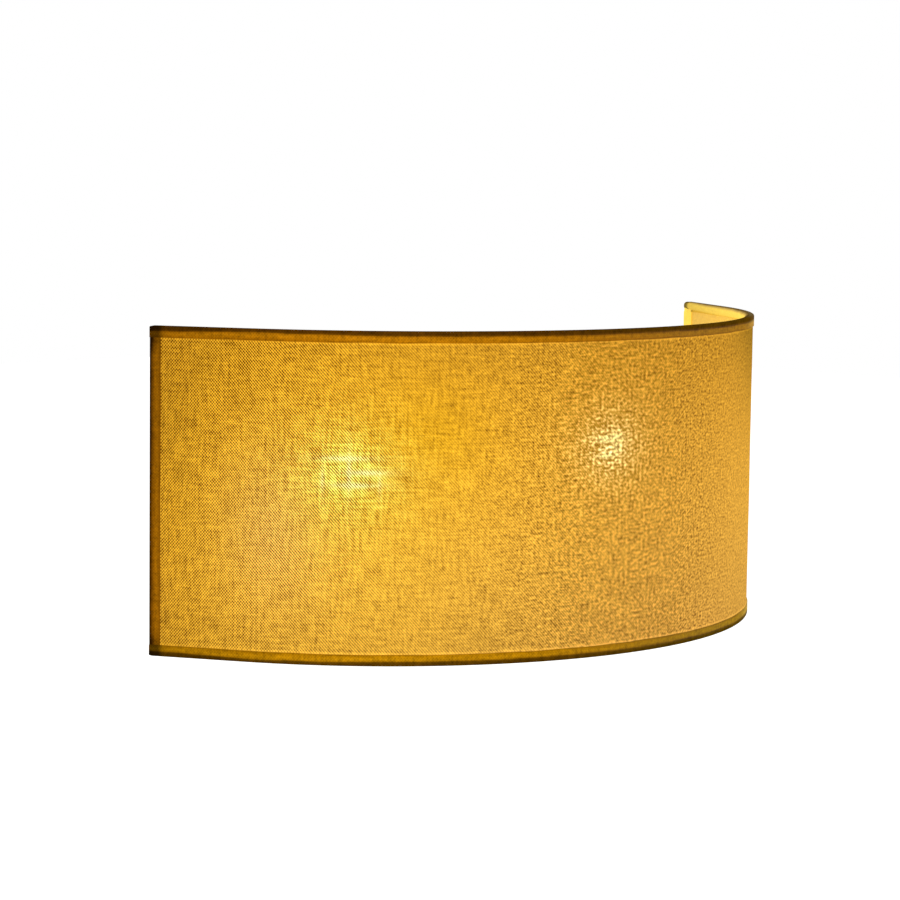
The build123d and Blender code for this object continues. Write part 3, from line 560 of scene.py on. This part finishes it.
def cover_cloth(look):
    """Linen-look cloth with the bulbs' light coming through it."""
    recipe = Recipe("cover_cloth")
    along, across = recipe.axes(recipe.thread_place(), "XY")

    def spot(place):
        return soft_spot(along, across, *place)

    # weave, threads and flecks
    back, fore = ribs(recipe, look, along, across)
    yarn = uneven_yarn(recipe, look, along, across)
    crossing = uneven_crossings(recipe, look, along, across)
    mottle, slub, pick = recipe.drift(*MOTTLE), recipe.drift(*SLUB), recipe.drift(*PICK)
    lean = recipe.drift(*LEAN, 2.0)
    crisp = soft_spot(abs(along), across, *CRISP_CORNERS)
    bulb, even = spot(LEFT_BULB), spot(EVEN_WEAVE)
    far_ends = abs(along).between(0.16, 0.25)
    calm, side = along.between(-0.20, -0.13), along.between(0.0, 0.06)
    back_share = 0.36 + crisp * 0.6 + bulb * 0.5 + even * 0.36 + lean * 0.3
    back_share -= spot(FAINT_WEAVE) * 0.26
    fore_share = 0.05 + far_ends * 0.6 - lean * 0.2
    weave = (back * back_share + fore * fore_share) * (1.0 - side * 0.6)
    middle, right = along.between(-0.13, -0.05), along.between(0.03, 0.09)
    threads = yarn * 0.8 + crossing * 0.3 + slub * 1.1 + pick * 0.9
    threads *= 1.0 - calm * 0.3 - side * 0.35 - even * 0.3
    threads += mottle * (0.7 + middle * 1.7 - right * 0.8 - even * 0.5)
    # painted light: the cloth shows lighter in a thin line beside the strips
    hem = abs(across).between(0.0722, 0.0729) * 0.42 + abs(along).between(0.2586, 0.2596) * 0.35
    tone = 1.0 + weave + threads + hem
    woven = recipe.mix((tone * 0.5).clamped(), DENSE, OPEN)

    # the left bulb shines straight through, the right one only through pinholes
    through = (bulb * (0.44 + (slub + pick) * 1.2)).clamped()
    light = recipe.mix(through, light_through(recipe, look, along, across), look.glow_bulb)
    pinholes = (spot(RIGHT_PINHOLES) * (0.18 + threads * 1.3)).clamped()
    light = recipe.mix(pinholes, light, look.glow_speck)
    light = recipe.multiply(light, woven)
    # painted light: bright spots where the bulbs shine through gaps between threads
    gap_light = sum(spot(place) * share for *place, share in GAP_LIGHT)
    gap_light = (gap_light * (0.85 + threads * 1.6 + weave * 1.2)).clamped()
    light = recipe.mix(gap_light, light, look.glow_speck)
    return recipe.surface(
        bump=back * 0.5 + fore * 0.5,
        bump_depth=0.00006,
        strength=0.3,
        base_color=recipe.multiply(look.yarn, woven),
        roughness=0.92,
        specular_ior_level=0.0,
        sheen_weight=0.01,
        sheen_roughness=0.5,
        emission_color=light,
        emission_strength=1.0,
    )


def lining_cloth(look):
    """Backing that the cover is laminated to, lit by the bulbs in front of it."""
    recipe = Recipe("lining_cloth")
    along, across = recipe.axes(recipe.thread_place(), "XY")
    back, fore = ribs(recipe, look, along, across)
    yarn, mottle = uneven_yarn(recipe, look, along, across), recipe.drift(*MOTTLE)
    tone = 1.0 + mottle * 0.2 + yarn * 0.2 + (back + fore) * 0.05
    level = (bulb_light(along, across) * 0.75 + 0.12) * tone
    return recipe.surface(
        bump=back + fore,
        bump_depth=0.00005,
        strength=0.4,
        base_color=recipe.tint(look.lining, tone * 0.9),
        roughness=0.8,
        specular_ior_level=0.1,
        emission_color=recipe.tint(look.lining_lit, level.clamped()),
        emission_strength=0.86,
    )


def strip_cloth(look, name, stops, light_along, casts=None):
    """Folded strip, with its own light and shade from hem to turned-in leg over the wire."""
    recipe = Recipe(name)
    along, across, round_it = recipe.axes(recipe.thread_place(), "XYZ")
    back, fore = ribs(recipe, look, along, across)
    yarn = uneven_yarn(recipe, look, along, across)
    mottle, slub, pick = recipe.drift(*MOTTLE), recipe.drift(*SLUB), recipe.drift(*PICK)
    wander = recipe.drift(*HEM_WANDER, 2.0) * 0.05
    outside = 1.0 - round_it.between(0.42, 0.5)
    light, shift = light_along(along, outside)
    turned = {"Fac": round_it + wander + shift}
    seen = recipe.node("ShaderNodeValToRGB", {"stops": stops}, turned, "Color")
    rough = 1.0 - round_it.between(0.5, 0.6) * 0.75
    grain = mottle * 0.7 + slub * 0.5 + pick * 0.5 + yarn * 0.6 + (back + fore) * 0.10
    tone = light * (1.0 + grain * rough)
    seen = recipe.tint(seen, tone * (1.0 + round_it.between(0.52, 0.6) * 0.12))
    if casts:
        seen = casts(recipe, seen, along, round_it, outside)
    return recipe.surface(
        bump=back * 0.3 + fore * 0.3 + yarn,
        bump_depth=0.00012,
        strength=0.5,
        base_color=recipe.tint(seen, 0.25),
        roughness=0.9,
        specular_ior_level=0.0,
        emission_color=seen,
        emission_strength=0.78,
    )


def rim_light(along, outside):
    """Light along a rim, brighter beside the bulbs and dark where the strips overlap."""
    doubled = abs(along).between(0.2562, 0.2598)
    light = (bulb_light(along, 0.0) * 0.9 + 0.1) * (1.0 - doubled * 0.72)
    end = abs(along).between(0.215, 0.262)
    return light, end * 0.055 - (1.0 - along.between(-0.22, -0.12)) * 0.04


# what a rim's light is multiplied by below, and at its hem and its fold towards the right
LOWER_CAST, HEM_CAST, FOLD_CAST = (1.05, 1.25, 1.0), (0.80, 0.99, 1.0), (1.2, 1.5, 1.0)
# what is added to it at the hem, at the hem far right, and all over the outside there
HEM_HAZE, FAR_HEM_HAZE, FAR_HAZE = (0.0, 0.0, 0.012), (0.12, 0.10, 0.03), (0.05, 0.05, 0.035)


def rim_casts(recipe, seen, along, round_it, outside):
    """Painted colour casts of the light on the rims: green on the lower one, olive and pale towards
    the right.
    """
    (height,) = recipe.axes(recipe.part_place(), "Z")
    below = outside * (1.0 - height.between(-0.02, 0.02))
    seen = recipe.mix(below, seen, recipe.multiply(seen, LOWER_CAST))
    right = along.between(-0.09, 0.06) * outside
    olive = recipe.mix(round_it.between(0.18, 0.24), HEM_CAST, FOLD_CAST)
    seen = recipe.mix(right, seen, recipe.multiply(seen, olive))
    hem = right * (1.0 - round_it.between(0.18, 0.26))
    seen = recipe.mix(hem, seen, HEM_HAZE, "ADD")
    seen = recipe.mix(hem * along.between(0.085, 0.125), seen, FAR_HEM_HAZE, "ADD")
    return recipe.mix(right * along.between(0.10, 0.14), seen, FAR_HAZE, "ADD")


def end_light(along, outside):
    """Light along an upright end, even, and dark in the folded corners."""
    corner = abs(along).between(0.064, 0.0735) * outside
    top = (along * (1 / HALF_HEIGHT)).between(-0.6, 1.0) * outside
    return 1.06 - corner * 0.4 - top * 0.16, corner * 0.04


def cloth_layer(sizes, name, material, step, faces):
    """Cloth round the frame between two faces: side, inset, share of the swell, and mark."""
    plan = Plan(sizes)
    edge = sizes.binding + sizes.ease
    end = plan.half - plan.end - edge
    top = sizes.height / 2 - edge
    rings, thread = [], []
    for along in steps(-end, end, step):
        ring = []
        for side, inset, give, mark in faces:
            for z in steps(-top * side, top * side, step):
                ease = min(
                    1.0,
                    max(0.0, (top - abs(z)) / HELD_FLAT),
                    max(0.0, (end - abs(along)) / HELD_FLAT),
                )
                swell = noise.noise((along * 26, z * 34, 4.2)) * SWELL * ease
                spot = plan.at(along, inset + swell * give)
                ring.append((spot.x, spot.y, z))
                thread.append((along, z, mark))
        rings.append(ring)
    return new_piece(name, rings, thread, material), (2 * top, 2 * end)


class SHADE_OT_cover(bpy.types.Operator):
    """Outer cloth, stretched round the frame"""

    bl_idname = "shade.cover"
    bl_label = "Cover"

    def execute(self, context):
        sizes = context.scene.shade_sizes
        piece, cut = cloth_layer(
            sizes, "shade_cover_cloth", cover_cloth(context.scene.cloth_look),
            COVER_STEP, ((1, 0.0, 1.0, 0.0), (-1, sizes.cover, 0.3, 1.0)),
        )
        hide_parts("shade_cover")
        return {"FINISHED"}


class SHADE_OT_lining(bpy.types.Operator):
    """Lining, laminated to the inside of the cover"""

    bl_idname = "shade.lining"
    bl_label = "Lining"

    def execute(self, context):
        sizes = context.scene.shade_sizes
        start = sizes.cover + sizes.glue
        piece, cut = cloth_layer(
            sizes, "shade_lining", lining_cloth(context.scene.cloth_look),
            LINING_STEP, ((1, start, 0.0, 0.0), (-1, start + sizes.lining, 0.0, 0.0)),
        )
        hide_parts("shade_liner")
        return {"FINISHED"}


# ---------------------------------------------------------------- strips

# painted light and shade round a strip, dark over the fold and the wire, by their share of the way
# from the hem outside to the hem inside, and where the light on the turned-in leg begins and ends
LEG_LIT_FROM_RIM, LEG_LIT_FROM_END, LEG_LIT_TO = 0.64, 0.54, 0.96
# the lit leg ends at its inner hem a little darker, in painted shade
INNER_HEM = (240, 188, 62)
RIM_LIGHT_AND_SHADE = (
    (0.0, (158, 98, 4)),
    (0.05, (178, 112, 6)),
    (0.12, (184, 118, 8)),
    (0.17, (166, 104, 7)),
    (0.205, (100, 60, 4)),
    (0.25, (80, 46, 3)),
    (0.47, (78, 52, 8)),
    (0.53, (140, 112, 58)),
    (0.58, (200, 166, 84)),
)
END_LIGHT_AND_SHADE = (
    (0.0, (126, 76, 3)),
    (0.03, (136, 84, 5)),
    (0.10, (152, 96, 6)),
    (0.17, (143, 88, 5)),
    (0.23, (116, 70, 4)),
    (0.27, (84, 48, 3)),
    (0.30, (52, 26, 1)),
    (0.46, (70, 44, 6)),
    (0.50, (200, 160, 90)),
)
STRIP_STEP = 0.0015
HEM_RADII = (0.0004, 0.00035)
FOLD_SHARE = 0.985
RIM_WAVE, END_WAVE = 0.00022, 0.0002
RIM_CORNER = 0.0003
# how far an end strip stays below the rims' hem, its own tip below the edge, and its thinner tip
END_BELOW, TIP_BELOW, TIP_STEP, TIP_THINNER = 0.0001, 0.0009, 0.0006, 0.0003


def strip_stops(look, light_and_shade, lit_from):
    """Stops of a strip's ramp: the painted light and shade of the folded side, then the lit leg."""
    lit = [(lit_from, look.strip_lit), (LEG_LIT_TO, look.strip_lit), (1.0, srgb(*INNER_HEM))]
    return [(place, srgb(*shade)) for place, shade in light_and_shade] + lit


def strip_section(plan, sizes):
    """Ring round the folded strip: inward, towards the edge, way along it, share of that way."""
    half = sizes.binding / 2
    outside = -sizes.ease - half
    tuck = plan.laminate + sizes.ease + half
    wire_y = -plan.fold_outer
    ring = plan.fold + half
    corners = [
        (outside, -sizes.reach),
        (outside, -half),
        (plan.wire_in + ring, -half),
        (plan.wire_in + ring, wire_y - ring),
        (tuck, wire_y - ring),
        (tuck, -sizes.reach),
    ]
    fold = ring * FOLD_SHARE
    spots, normals = rounded(corners, (HEM_RADII[0], fold, fold, HEM_RADII[1]))
    marks = [0.0]
    for spot, last in zip(spots[1:], spots):
        marks.append(marks[-1] + (spot - last).length)
    outer = [(s + n * half, m) for s, n, m in zip(spots, normals, marks)]
    inner = [(s - n * half, m) for s, n, m in zip(spots, normals, marks)]
    way = marks[-1]
    return [(p.x, p.y, m, m / way) for p, m in outer + inner[::-1]], way


def drop_at_end(distance, radius):
    """How far a rounded corner falls below the edge, at a distance from its end."""
    if distance >= radius:
        return 0.0
    return radius - math.sqrt(max(0.0, radius**2 - (radius - distance) ** 2))


def stiffness(up, reach):
    """1 at the edge and 0 at the hem, which is free to wave."""
    return (1 + up / reach) if up < 0 else 1.0


def rim_strip(plan, sizes, section, side):
    """Rings and threads of the strip round the top rim (side 1) or the bottom one (-1)."""
    end = plan.half - plan.end
    rings, thread = [], []
    for along in steps(-end, end, STRIP_STEP):
        wave = noise.noise((along * 60, side * 5.1, 0.0)) * RIM_WAVE
        fall = drop_at_end(end - abs(along), RIM_CORNER)
        ring = []
        for inward, up, run, share in section:
            stiff = stiffness(up, sizes.reach)
            hem = wave * (1 - stiff) if inward < sizes.cover else -wave * (1 - stiff)
            spot = plan.at(along, inward)
            z = sizes.height / 2 + up - fall * max(0.0, stiff) + hem
            ring.append((spot.x, min(spot.y, -sizes.wall_gap), side * z))
            thread.append((along, run, share))
        rings.append(ring)
    return rings, thread, 2 * end


def end_strip(plan, sizes, section, side):
    """Rings and threads of the strip down the left end (side -1) or the right one (1)."""
    onward = Vector((-math.cos(plan.angle), -math.sin(plan.angle)))
    inward_dir = Vector((-math.sin(plan.angle), math.cos(plan.angle)))
    corner = Vector((sizes.width / 2, 0))
    tall = sizes.height / 2 - sizes.reach - END_BELOW
    tip = sizes.height / 2 - TIP_BELOW
    rings, thread = [], []
    for z in [-tip, -tall - TIP_STEP, *steps(-tall, tall, STRIP_STEP), tall + TIP_STEP, tip]:
        wave = noise.noise((z * 60, side * 7.7, 0.0)) * END_WAVE
        ring = []
        for inward, up, run, share in section:
            stiff = stiffness(up, sizes.reach)
            if abs(z) > tall:
                inward = min(max(inward, sizes.ease), plan.wire_in + plan.fold)
                up -= TIP_THINNER
            spot = corner + inward_dir * inward - onward * (-plan.end + up + wave * (1 - stiff))
            ring.append((side * spot.x, spot.y, z))
            thread.append((z, run, share))
        rings.append(ring)
    return rings, thread, 2 * tip


class SHADE_OT_bindings(bpy.types.Operator):
    """Strips folded round the rim wires and the ends"""

    bl_idname = "shade.bindings"
    bl_label = "Bindings"

    def execute(self, context):
        sizes, look = context.scene.shade_sizes, context.scene.cloth_look
        plan = Plan(sizes)
        section, way = strip_section(plan, sizes)
        rim_stops = strip_stops(look, RIM_LIGHT_AND_SHADE, LEG_LIT_FROM_RIM)
        end_stops = strip_stops(look, END_LIGHT_AND_SHADE, LEG_LIT_FROM_END)
        rim = strip_cloth(look, "rim_strip", rim_stops, rim_light, rim_casts)
        end = strip_cloth(look, "end_strip", end_stops, end_light)
        for name, side, shape, material, wire in (
            ("top_binding", 1, rim_strip, rim, "top_wire"),
            ("bottom_binding", -1, rim_strip, rim, "bottom_wire"),
            ("left_end_binding", -1, end_strip, end, "left_upright"),
            ("right_end_binding", 1, end_strip, end, "right_upright"),
        ):
            rings, thread, cut = shape(plan, sizes, section, side)
            piece = new_piece(name + "_strip", rings, thread, material)
            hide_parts(name)
        return {"FINISHED"}


# ---------------------------------------------------------------- metal, plastic, glass


def darker(shade, share):
    """A colour times a number, worked out before the nodes."""
    return tuple(c * share for c in shade)


def powder_coat(look):
    """Fine-grained pale coat with a little dirt."""
    recipe = Recipe("powder_coat")
    grain = recipe.clouds(recipe.part_place(), 900.0, 3.0)
    dirt = recipe.clouds(recipe.part_place(), 25.0, 4.0)
    return recipe.surface(
        bump=grain,
        bump_depth=0.00004,
        strength=0.5,
        base_color=recipe.mix(dirt, darker(look.coat, 0.94), look.coat),
        roughness=0.42 + (dirt - 0.5) * 0.15,
    )


def plated(name, shade, roughness=0.3):
    """Bare or plated metal with a cloudy tone and uneven gloss."""
    recipe = Recipe(name)
    grain = recipe.clouds(recipe.part_place(), 400.0, 3.0)
    cloud = recipe.clouds(recipe.part_place(), 60.0, 3.0)
    return recipe.surface(
        bump=grain,
        bump_depth=0.00002,
        strength=0.4,
        base_color=recipe.mix(cloud, darker(shade, 0.78), shade),
        metallic=1.0,
        roughness=roughness + (grain - 0.5) * 0.2 + (cloud - 0.5) * 0.12,
    )


def moulded(name, shade, roughness=0.35, grain_scale=700.0, depth=0.00002):
    """Moulded plastic, rubber or ceramic."""
    recipe = Recipe(name)
    grain = recipe.clouds(recipe.part_place(), grain_scale, 2.0)
    cloud = recipe.clouds(recipe.part_place(), 80.0, 3.0)
    return recipe.surface(
        bump=grain,
        bump_depth=depth,
        strength=0.4,
        base_color=recipe.mix(cloud, darker(shade, 0.88), shade),
        roughness=roughness + (cloud - 0.5) * 0.15,
    )


def blown_glass(name, tint=WHITE):
    """Clear glass."""
    recipe = Recipe(name)
    cloud = recipe.clouds(recipe.part_place(), 40.0, 2.0)
    return recipe.surface(
        base_color=tint,
        roughness=0.02 + cloud * 0.03,
        transmission_weight=1.0,
        ior=1.45,
    )


def glowing(name, shade, strength):
    """The rods inside a bulb, lit."""
    recipe = Recipe(name)
    cloud = recipe.clouds(recipe.part_place(), 600.0, 2.0)
    return recipe.surface(
        base_color=shade,
        roughness=0.6,
        emission_color=recipe.mix(cloud, darker(shade, 0.85), shade),
        emission_strength=strength,
    )


def striped_sheath(name, shade, stripe):
    """Sleeve with a second colour in slanting stripes."""
    recipe = Recipe(name)
    cloud = recipe.clouds(recipe.part_place(), 200.0, 2.0)
    x, z = recipe.axes(recipe.part_place(), "XZ")
    band = (x * 900 + z * 900).sine().above(0.35)
    return recipe.surface(
        bump=cloud,
        bump_depth=0.00002,
        base_color=recipe.mix(band, shade, stripe),
        roughness=0.4 + cloud * 0.1,
    )


class LIGHT_OT_metalwork(bpy.types.Operator):
    """Wall plate, bracket, wires, hangers, studs, screws and nuts"""

    bl_idname = "light.metalwork"
    bl_label = "Metalwork"

    def execute(self, context):
        look = context.scene.metal_look
        finish_nodes(["wall_plate", "lamp_bracket"], powder_coat(look))
        finish_nodes(["top_wire", "bottom_wire", *both("upright")], powder_coat(look))
        finish_nodes(
            [*both("hanger"), "shade_studs", *both("washer"), "bracket_screws", "plate_nuts",
             "holder_locknuts", "block_screws", "terminal_screws", "holder_nipples"],
            plated("zinc_plate", look.zinc),
        )
        finish_nodes(
            [*both("thumb_nut"), "earth_screw", "earth_washer", "terminal_barrels"],
            plated("turned_brass", look.brass, 0.24),
        )
        finish_nodes(["earth_tag"], plated("tinned_copper", srgb(190, 186, 176), 0.35))
        finish_nodes(["cable_grommet"], moulded("black_rubber", srgb(38, 38, 38), 0.7))
        return {"FINISHED"}


class LIGHT_OT_lampholders(bpy.types.Operator):
    """Lampholders with their ceramic inserts and threaded sleeves"""

    bl_idname = "light.lampholders"
    bl_label = "Lampholders"

    def execute(self, context):
        look = context.scene.metal_look
        shell = moulded("holder_moulding", srgb(236, 232, 220), 0.28)
        ceramic = moulded("fired_ceramic", srgb(226, 218, 200), 0.75, 300.0, 0.00005)
        finish_nodes([*both("holder_cap"), *both("holder_skirt")], shell)
        finish_nodes(both("holder_insert"), ceramic)
        finish_nodes(
            [*both("screw_shell"), *both("holder_tongue")], plated("sheet_brass", look.brass, 0.32)
        )
        return {"FINISHED"}


class LIGHT_OT_bulbs(bpy.types.Operator):
    """Clear bulbs with glowing rods"""

    bl_idname = "light.bulbs"
    bl_label = "Bulbs"

    def execute(self, context):
        look = context.scene.metal_look
        rods = glowing("glowing_rods", srgb(255, 214, 140), 6.0)
        finish_nodes(both("bulb_glass"), blown_glass("bulb_glass", (1.0, 0.98, 0.94)))
        finish_nodes(both("bulb_stem"), blown_glass("stem_glass"))
        finish_nodes(both("bulb_cap"), plated("nickel_plate", look.nickel, 0.26))
        finish_nodes(both("bulb_contact"), plated("solder", srgb(170, 168, 160), 0.4))
        finish_nodes(both("bulb_insulator"), moulded("black_glass", srgb(20, 20, 24), 0.12))
        finish_nodes(both("bulb_filaments"), rods)
        return {"FINISHED"}


# each lead's length and its route, from the block's poles to the nipples, and from the block's
# middle to the earth tag
LEADS = {
    "right_neutral_lead": (0.0641, [
        (0.008, -0.0195, 0.0123), (0.008, -0.0195, 0.026), (0.009, -0.036, 0.0255),
        (0.009, -0.036, 0.006), (0.0329, -0.036, 0.006),
    ]),
    "left_live_lead": (0.0641, [
        (-0.008, -0.0195, 0.0123), (-0.008, -0.0195, 0.026), (-0.009, -0.036, 0.0255),
        (-0.009, -0.036, 0.006), (-0.0329, -0.036, 0.006),
    ]),
    "right_live_lead": (0.0846, [
        (-0.008, -0.0175, 0.0123), (-0.008, -0.0175, 0.033), (0.007, -0.038, 0.0325),
        (0.007, -0.038, 0.006), (0.0329, -0.038, 0.006),
    ]),
    "left_neutral_lead": (0.0918, [
        (0.008, -0.0175, 0.0123), (0.008, -0.0175, 0.037), (-0.007, -0.038, 0.0365),
        (-0.007, -0.038, 0.006), (-0.0329, -0.038, 0.006),
    ]),
    "earth_lead": (0.0911, [
        (0.0, -0.0185, 0.0123), (0.0, -0.0185, 0.017), (0.0, -0.0126, 0.030),
        (-0.040, -0.0126, 0.030), (-0.040, -0.0126, -0.0127),
    ]),
}


def sleeved_lead(name, diameter, material):
    """One smooth curve of single-core lead."""
    real_length, route = LEADS[name]
    curve = bpy.data.curves.new(name + "_sleeve", "CURVE")
    curve.dimensions = "3D"
    spline = curve.splines.new("NURBS")
    spline.points.add(len(route) - 1)
    for point, spot in zip(spline.points, route):
        point.co = (*spot, 1.0)
    spline.order_u = 3
    spline.use_endpoint_u = True
    curve.resolution_u = 24
    curve.bevel_depth = diameter / 2
    curve.bevel_resolution = 5
    curve.use_fill_caps = True
    curve.materials.append(material)
    piece = bpy.data.objects.new(name + "_sleeve", curve)
    bpy.context.scene.collection.objects.link(piece)
    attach(piece, "wall_plate")
    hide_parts(name)


class LIGHT_OT_leads(bpy.types.Operator):
    """Single-core leads between the block, the lampholders and the earth tag"""

    bl_idname = "light.leads"
    bl_label = "Leads"

    def execute(self, context):
        wiring = context.scene.wiring
        live = moulded("brown_sleeve", wiring.live, 0.5)
        neutral = moulded("blue_sleeve", wiring.neutral, 0.5)
        earth = striped_sheath("earth_sleeve", wiring.earth, wiring.stripe)
        for name in both("live_lead"):
            sleeved_lead(name, wiring.lead, live)
        for name in both("neutral_lead"):
            sleeved_lead(name, wiring.lead, neutral)
        sleeved_lead("earth_lead", wiring.earth_lead, earth)
        return {"FINISHED"}


class LIGHT_OT_block(bpy.types.Operator):
    """Terminal block"""

    bl_idname = "light.block"
    bl_label = "Terminal block"

    def execute(self, context):
        finish_nodes(["terminal_block"], moulded("milky_nylon", srgb(226, 224, 214), 0.4))
        return {"FINISHED"}


# ---------------------------------------------------------------- stage

FLOOR_HALF = 14.0
KEY_PLACE = Vector((-1.2, -2.4, 1.5))
KEY_AIM = Vector((0, -0.05, 0))
KEY_SIZE = 1.6
SENSOR = 36.0
FAR_CLIP = 100.0


def lay_floor(scene, look):
    """Plain pale floor."""
    recipe = Recipe("pale_floor")
    grain = recipe.clouds(recipe.part_place(), 3.0, 3.0)
    pale = recipe.surface(
        base_color=recipe.mix(grain, (0.93, 0.93, 0.92), (0.95, 0.95, 0.94)),
        roughness=0.9,
        emission_color=recipe.mix(recipe.seen_plainly(), BLACK, WHITE),
        emission_strength=0.5,
    )
    mesh = bpy.data.meshes.new("floor")
    sides = ((-1, -1), (1, -1), (1, 1), (-1, 1))
    corners = [(x * FLOOR_HALF, y * FLOOR_HALF, -look.floor_drop) for x, y in sides]
    mesh.from_pydata(corners, [], [(0, 1, 2, 3)])
    mesh.materials.append(pale)
    floor = bpy.data.objects.new("floor", mesh)
    scene.collection.objects.link(floor)


def light_studio(scene, look):
    """Even pale surroundings and one soft lamp."""
    world = bpy.data.worlds.new("studio")
    scene.world = world
    recipe = Recipe("studio", world)
    even = recipe.node(
        "ShaderNodeBackground", {}, {"Color": (1.0, 0.99, 0.97), "Strength": look.world_level}
    )
    white = recipe.node("ShaderNodeBackground", {}, {"Color": WHITE, "Strength": 1.0})
    sky = recipe.node("ShaderNodeMixShader", {}, {0: recipe.seen_plainly(), 1: even, 2: white})
    recipe.node("ShaderNodeOutputWorld", {}, {"Surface": sky})
    lamp = bpy.data.lights.new("key", "AREA")
    lamp.energy = look.lamp_power
    lamp.shape = "DISK"
    lamp.size = KEY_SIZE
    holder = bpy.data.objects.new("key", lamp)
    holder.location = KEY_PLACE
    holder.rotation_euler = (KEY_AIM - KEY_PLACE).to_track_quat("-Z", "Y").to_euler()
    scene.collection.objects.link(holder)


def set_camera(scene, look):
    """Camera at its place, turned by its yaw, pitch and roll."""
    yaw, pitch, roll = look.turn
    across = Vector((math.cos(yaw), math.sin(yaw), 0))
    level = Vector((-math.sin(yaw), math.cos(yaw), 0))
    up = Vector((0, 0, 1))
    ahead = level * math.cos(pitch) + up * math.sin(pitch)
    over = up * math.cos(pitch) - level * math.sin(pitch)
    rightward = across * math.cos(roll) + over * math.sin(roll)
    upward = over * math.cos(roll) - across * math.sin(roll)
    camera_data = bpy.data.cameras.new("camera")
    camera_data.lens = look.lens
    camera_data.sensor_width = SENSOR
    camera_data.clip_end = FAR_CLIP
    camera = bpy.data.objects.new("camera", camera_data)
    turned = Matrix((rightward, upward, -ahead)).transposed().to_4x4()
    camera.matrix_world = Matrix.Translation(look.standing) @ turned
    scene.collection.objects.link(camera)
    scene.camera = camera


class LIGHT_OT_stage(bpy.types.Operator):
    """Floor, lights, world and camera"""

    bl_idname = "light.stage"
    bl_label = "Stage"

    def execute(self, context):
        scene, look = context.scene, context.scene.stage_look
        scene.view_settings.view_transform = "Standard"
        lay_floor(scene, look)
        light_studio(scene, look)
        set_camera(scene, look)
        return {"FINISHED"}


# ---------------------------------------------------------------- add-on


class LIGHT_PT_panel(bpy.types.Panel):
    """Lists the pieces of the wall light"""

    bl_idname = "LIGHT_PT_panel"
    bl_label = "Wall light"
    bl_space_type = "VIEW_3D"
    bl_region_type = "UI"
    bl_category = "Wall light"

    def draw(self, context):
        for operator in OPERATORS:
            self.layout.operator(operator.bl_idname)
        for group in GROUPS:
            settings = getattr(context.scene, GROUPS[group])
            for name in group.__annotations__:
                self.layout.prop(settings, name)


# in the order in which they are called: the camera and the leads come first
OPERATORS = (
    LIGHT_OT_stage,
    LIGHT_OT_leads,
    SHADE_OT_cover,
    SHADE_OT_lining,
    SHADE_OT_bindings,
    LIGHT_OT_metalwork,
    LIGHT_OT_lampholders,
    LIGHT_OT_bulbs,
    LIGHT_OT_block,
)
GROUPS = {
    ShadeSizes: "shade_sizes",
    ClothLook: "cloth_look",
    MetalLook: "metal_look",
    Wiring: "wiring",
    StageLook: "stage_look",
}


def register():
    for group, name in GROUPS.items():
        bpy.utils.register_class(group)
        setattr(bpy.types.Scene, name, PointerProperty(type=group))
    for made in (*OPERATORS, LIGHT_PT_panel):
        bpy.utils.register_class(made)


def unregister():
    for made in (LIGHT_PT_panel, *reversed(OPERATORS)):
        bpy.utils.unregister_class(made)
    for group, name in GROUPS.items():
        delattr(bpy.types.Scene, name)
        bpy.utils.unregister_class(group)


def main():
    register()
    for operator in OPERATORS:
        area, name = operator.bl_idname.split(".")
        getattr(getattr(bpy.ops, area), name)()


if __name__ == "__main__":
    main()
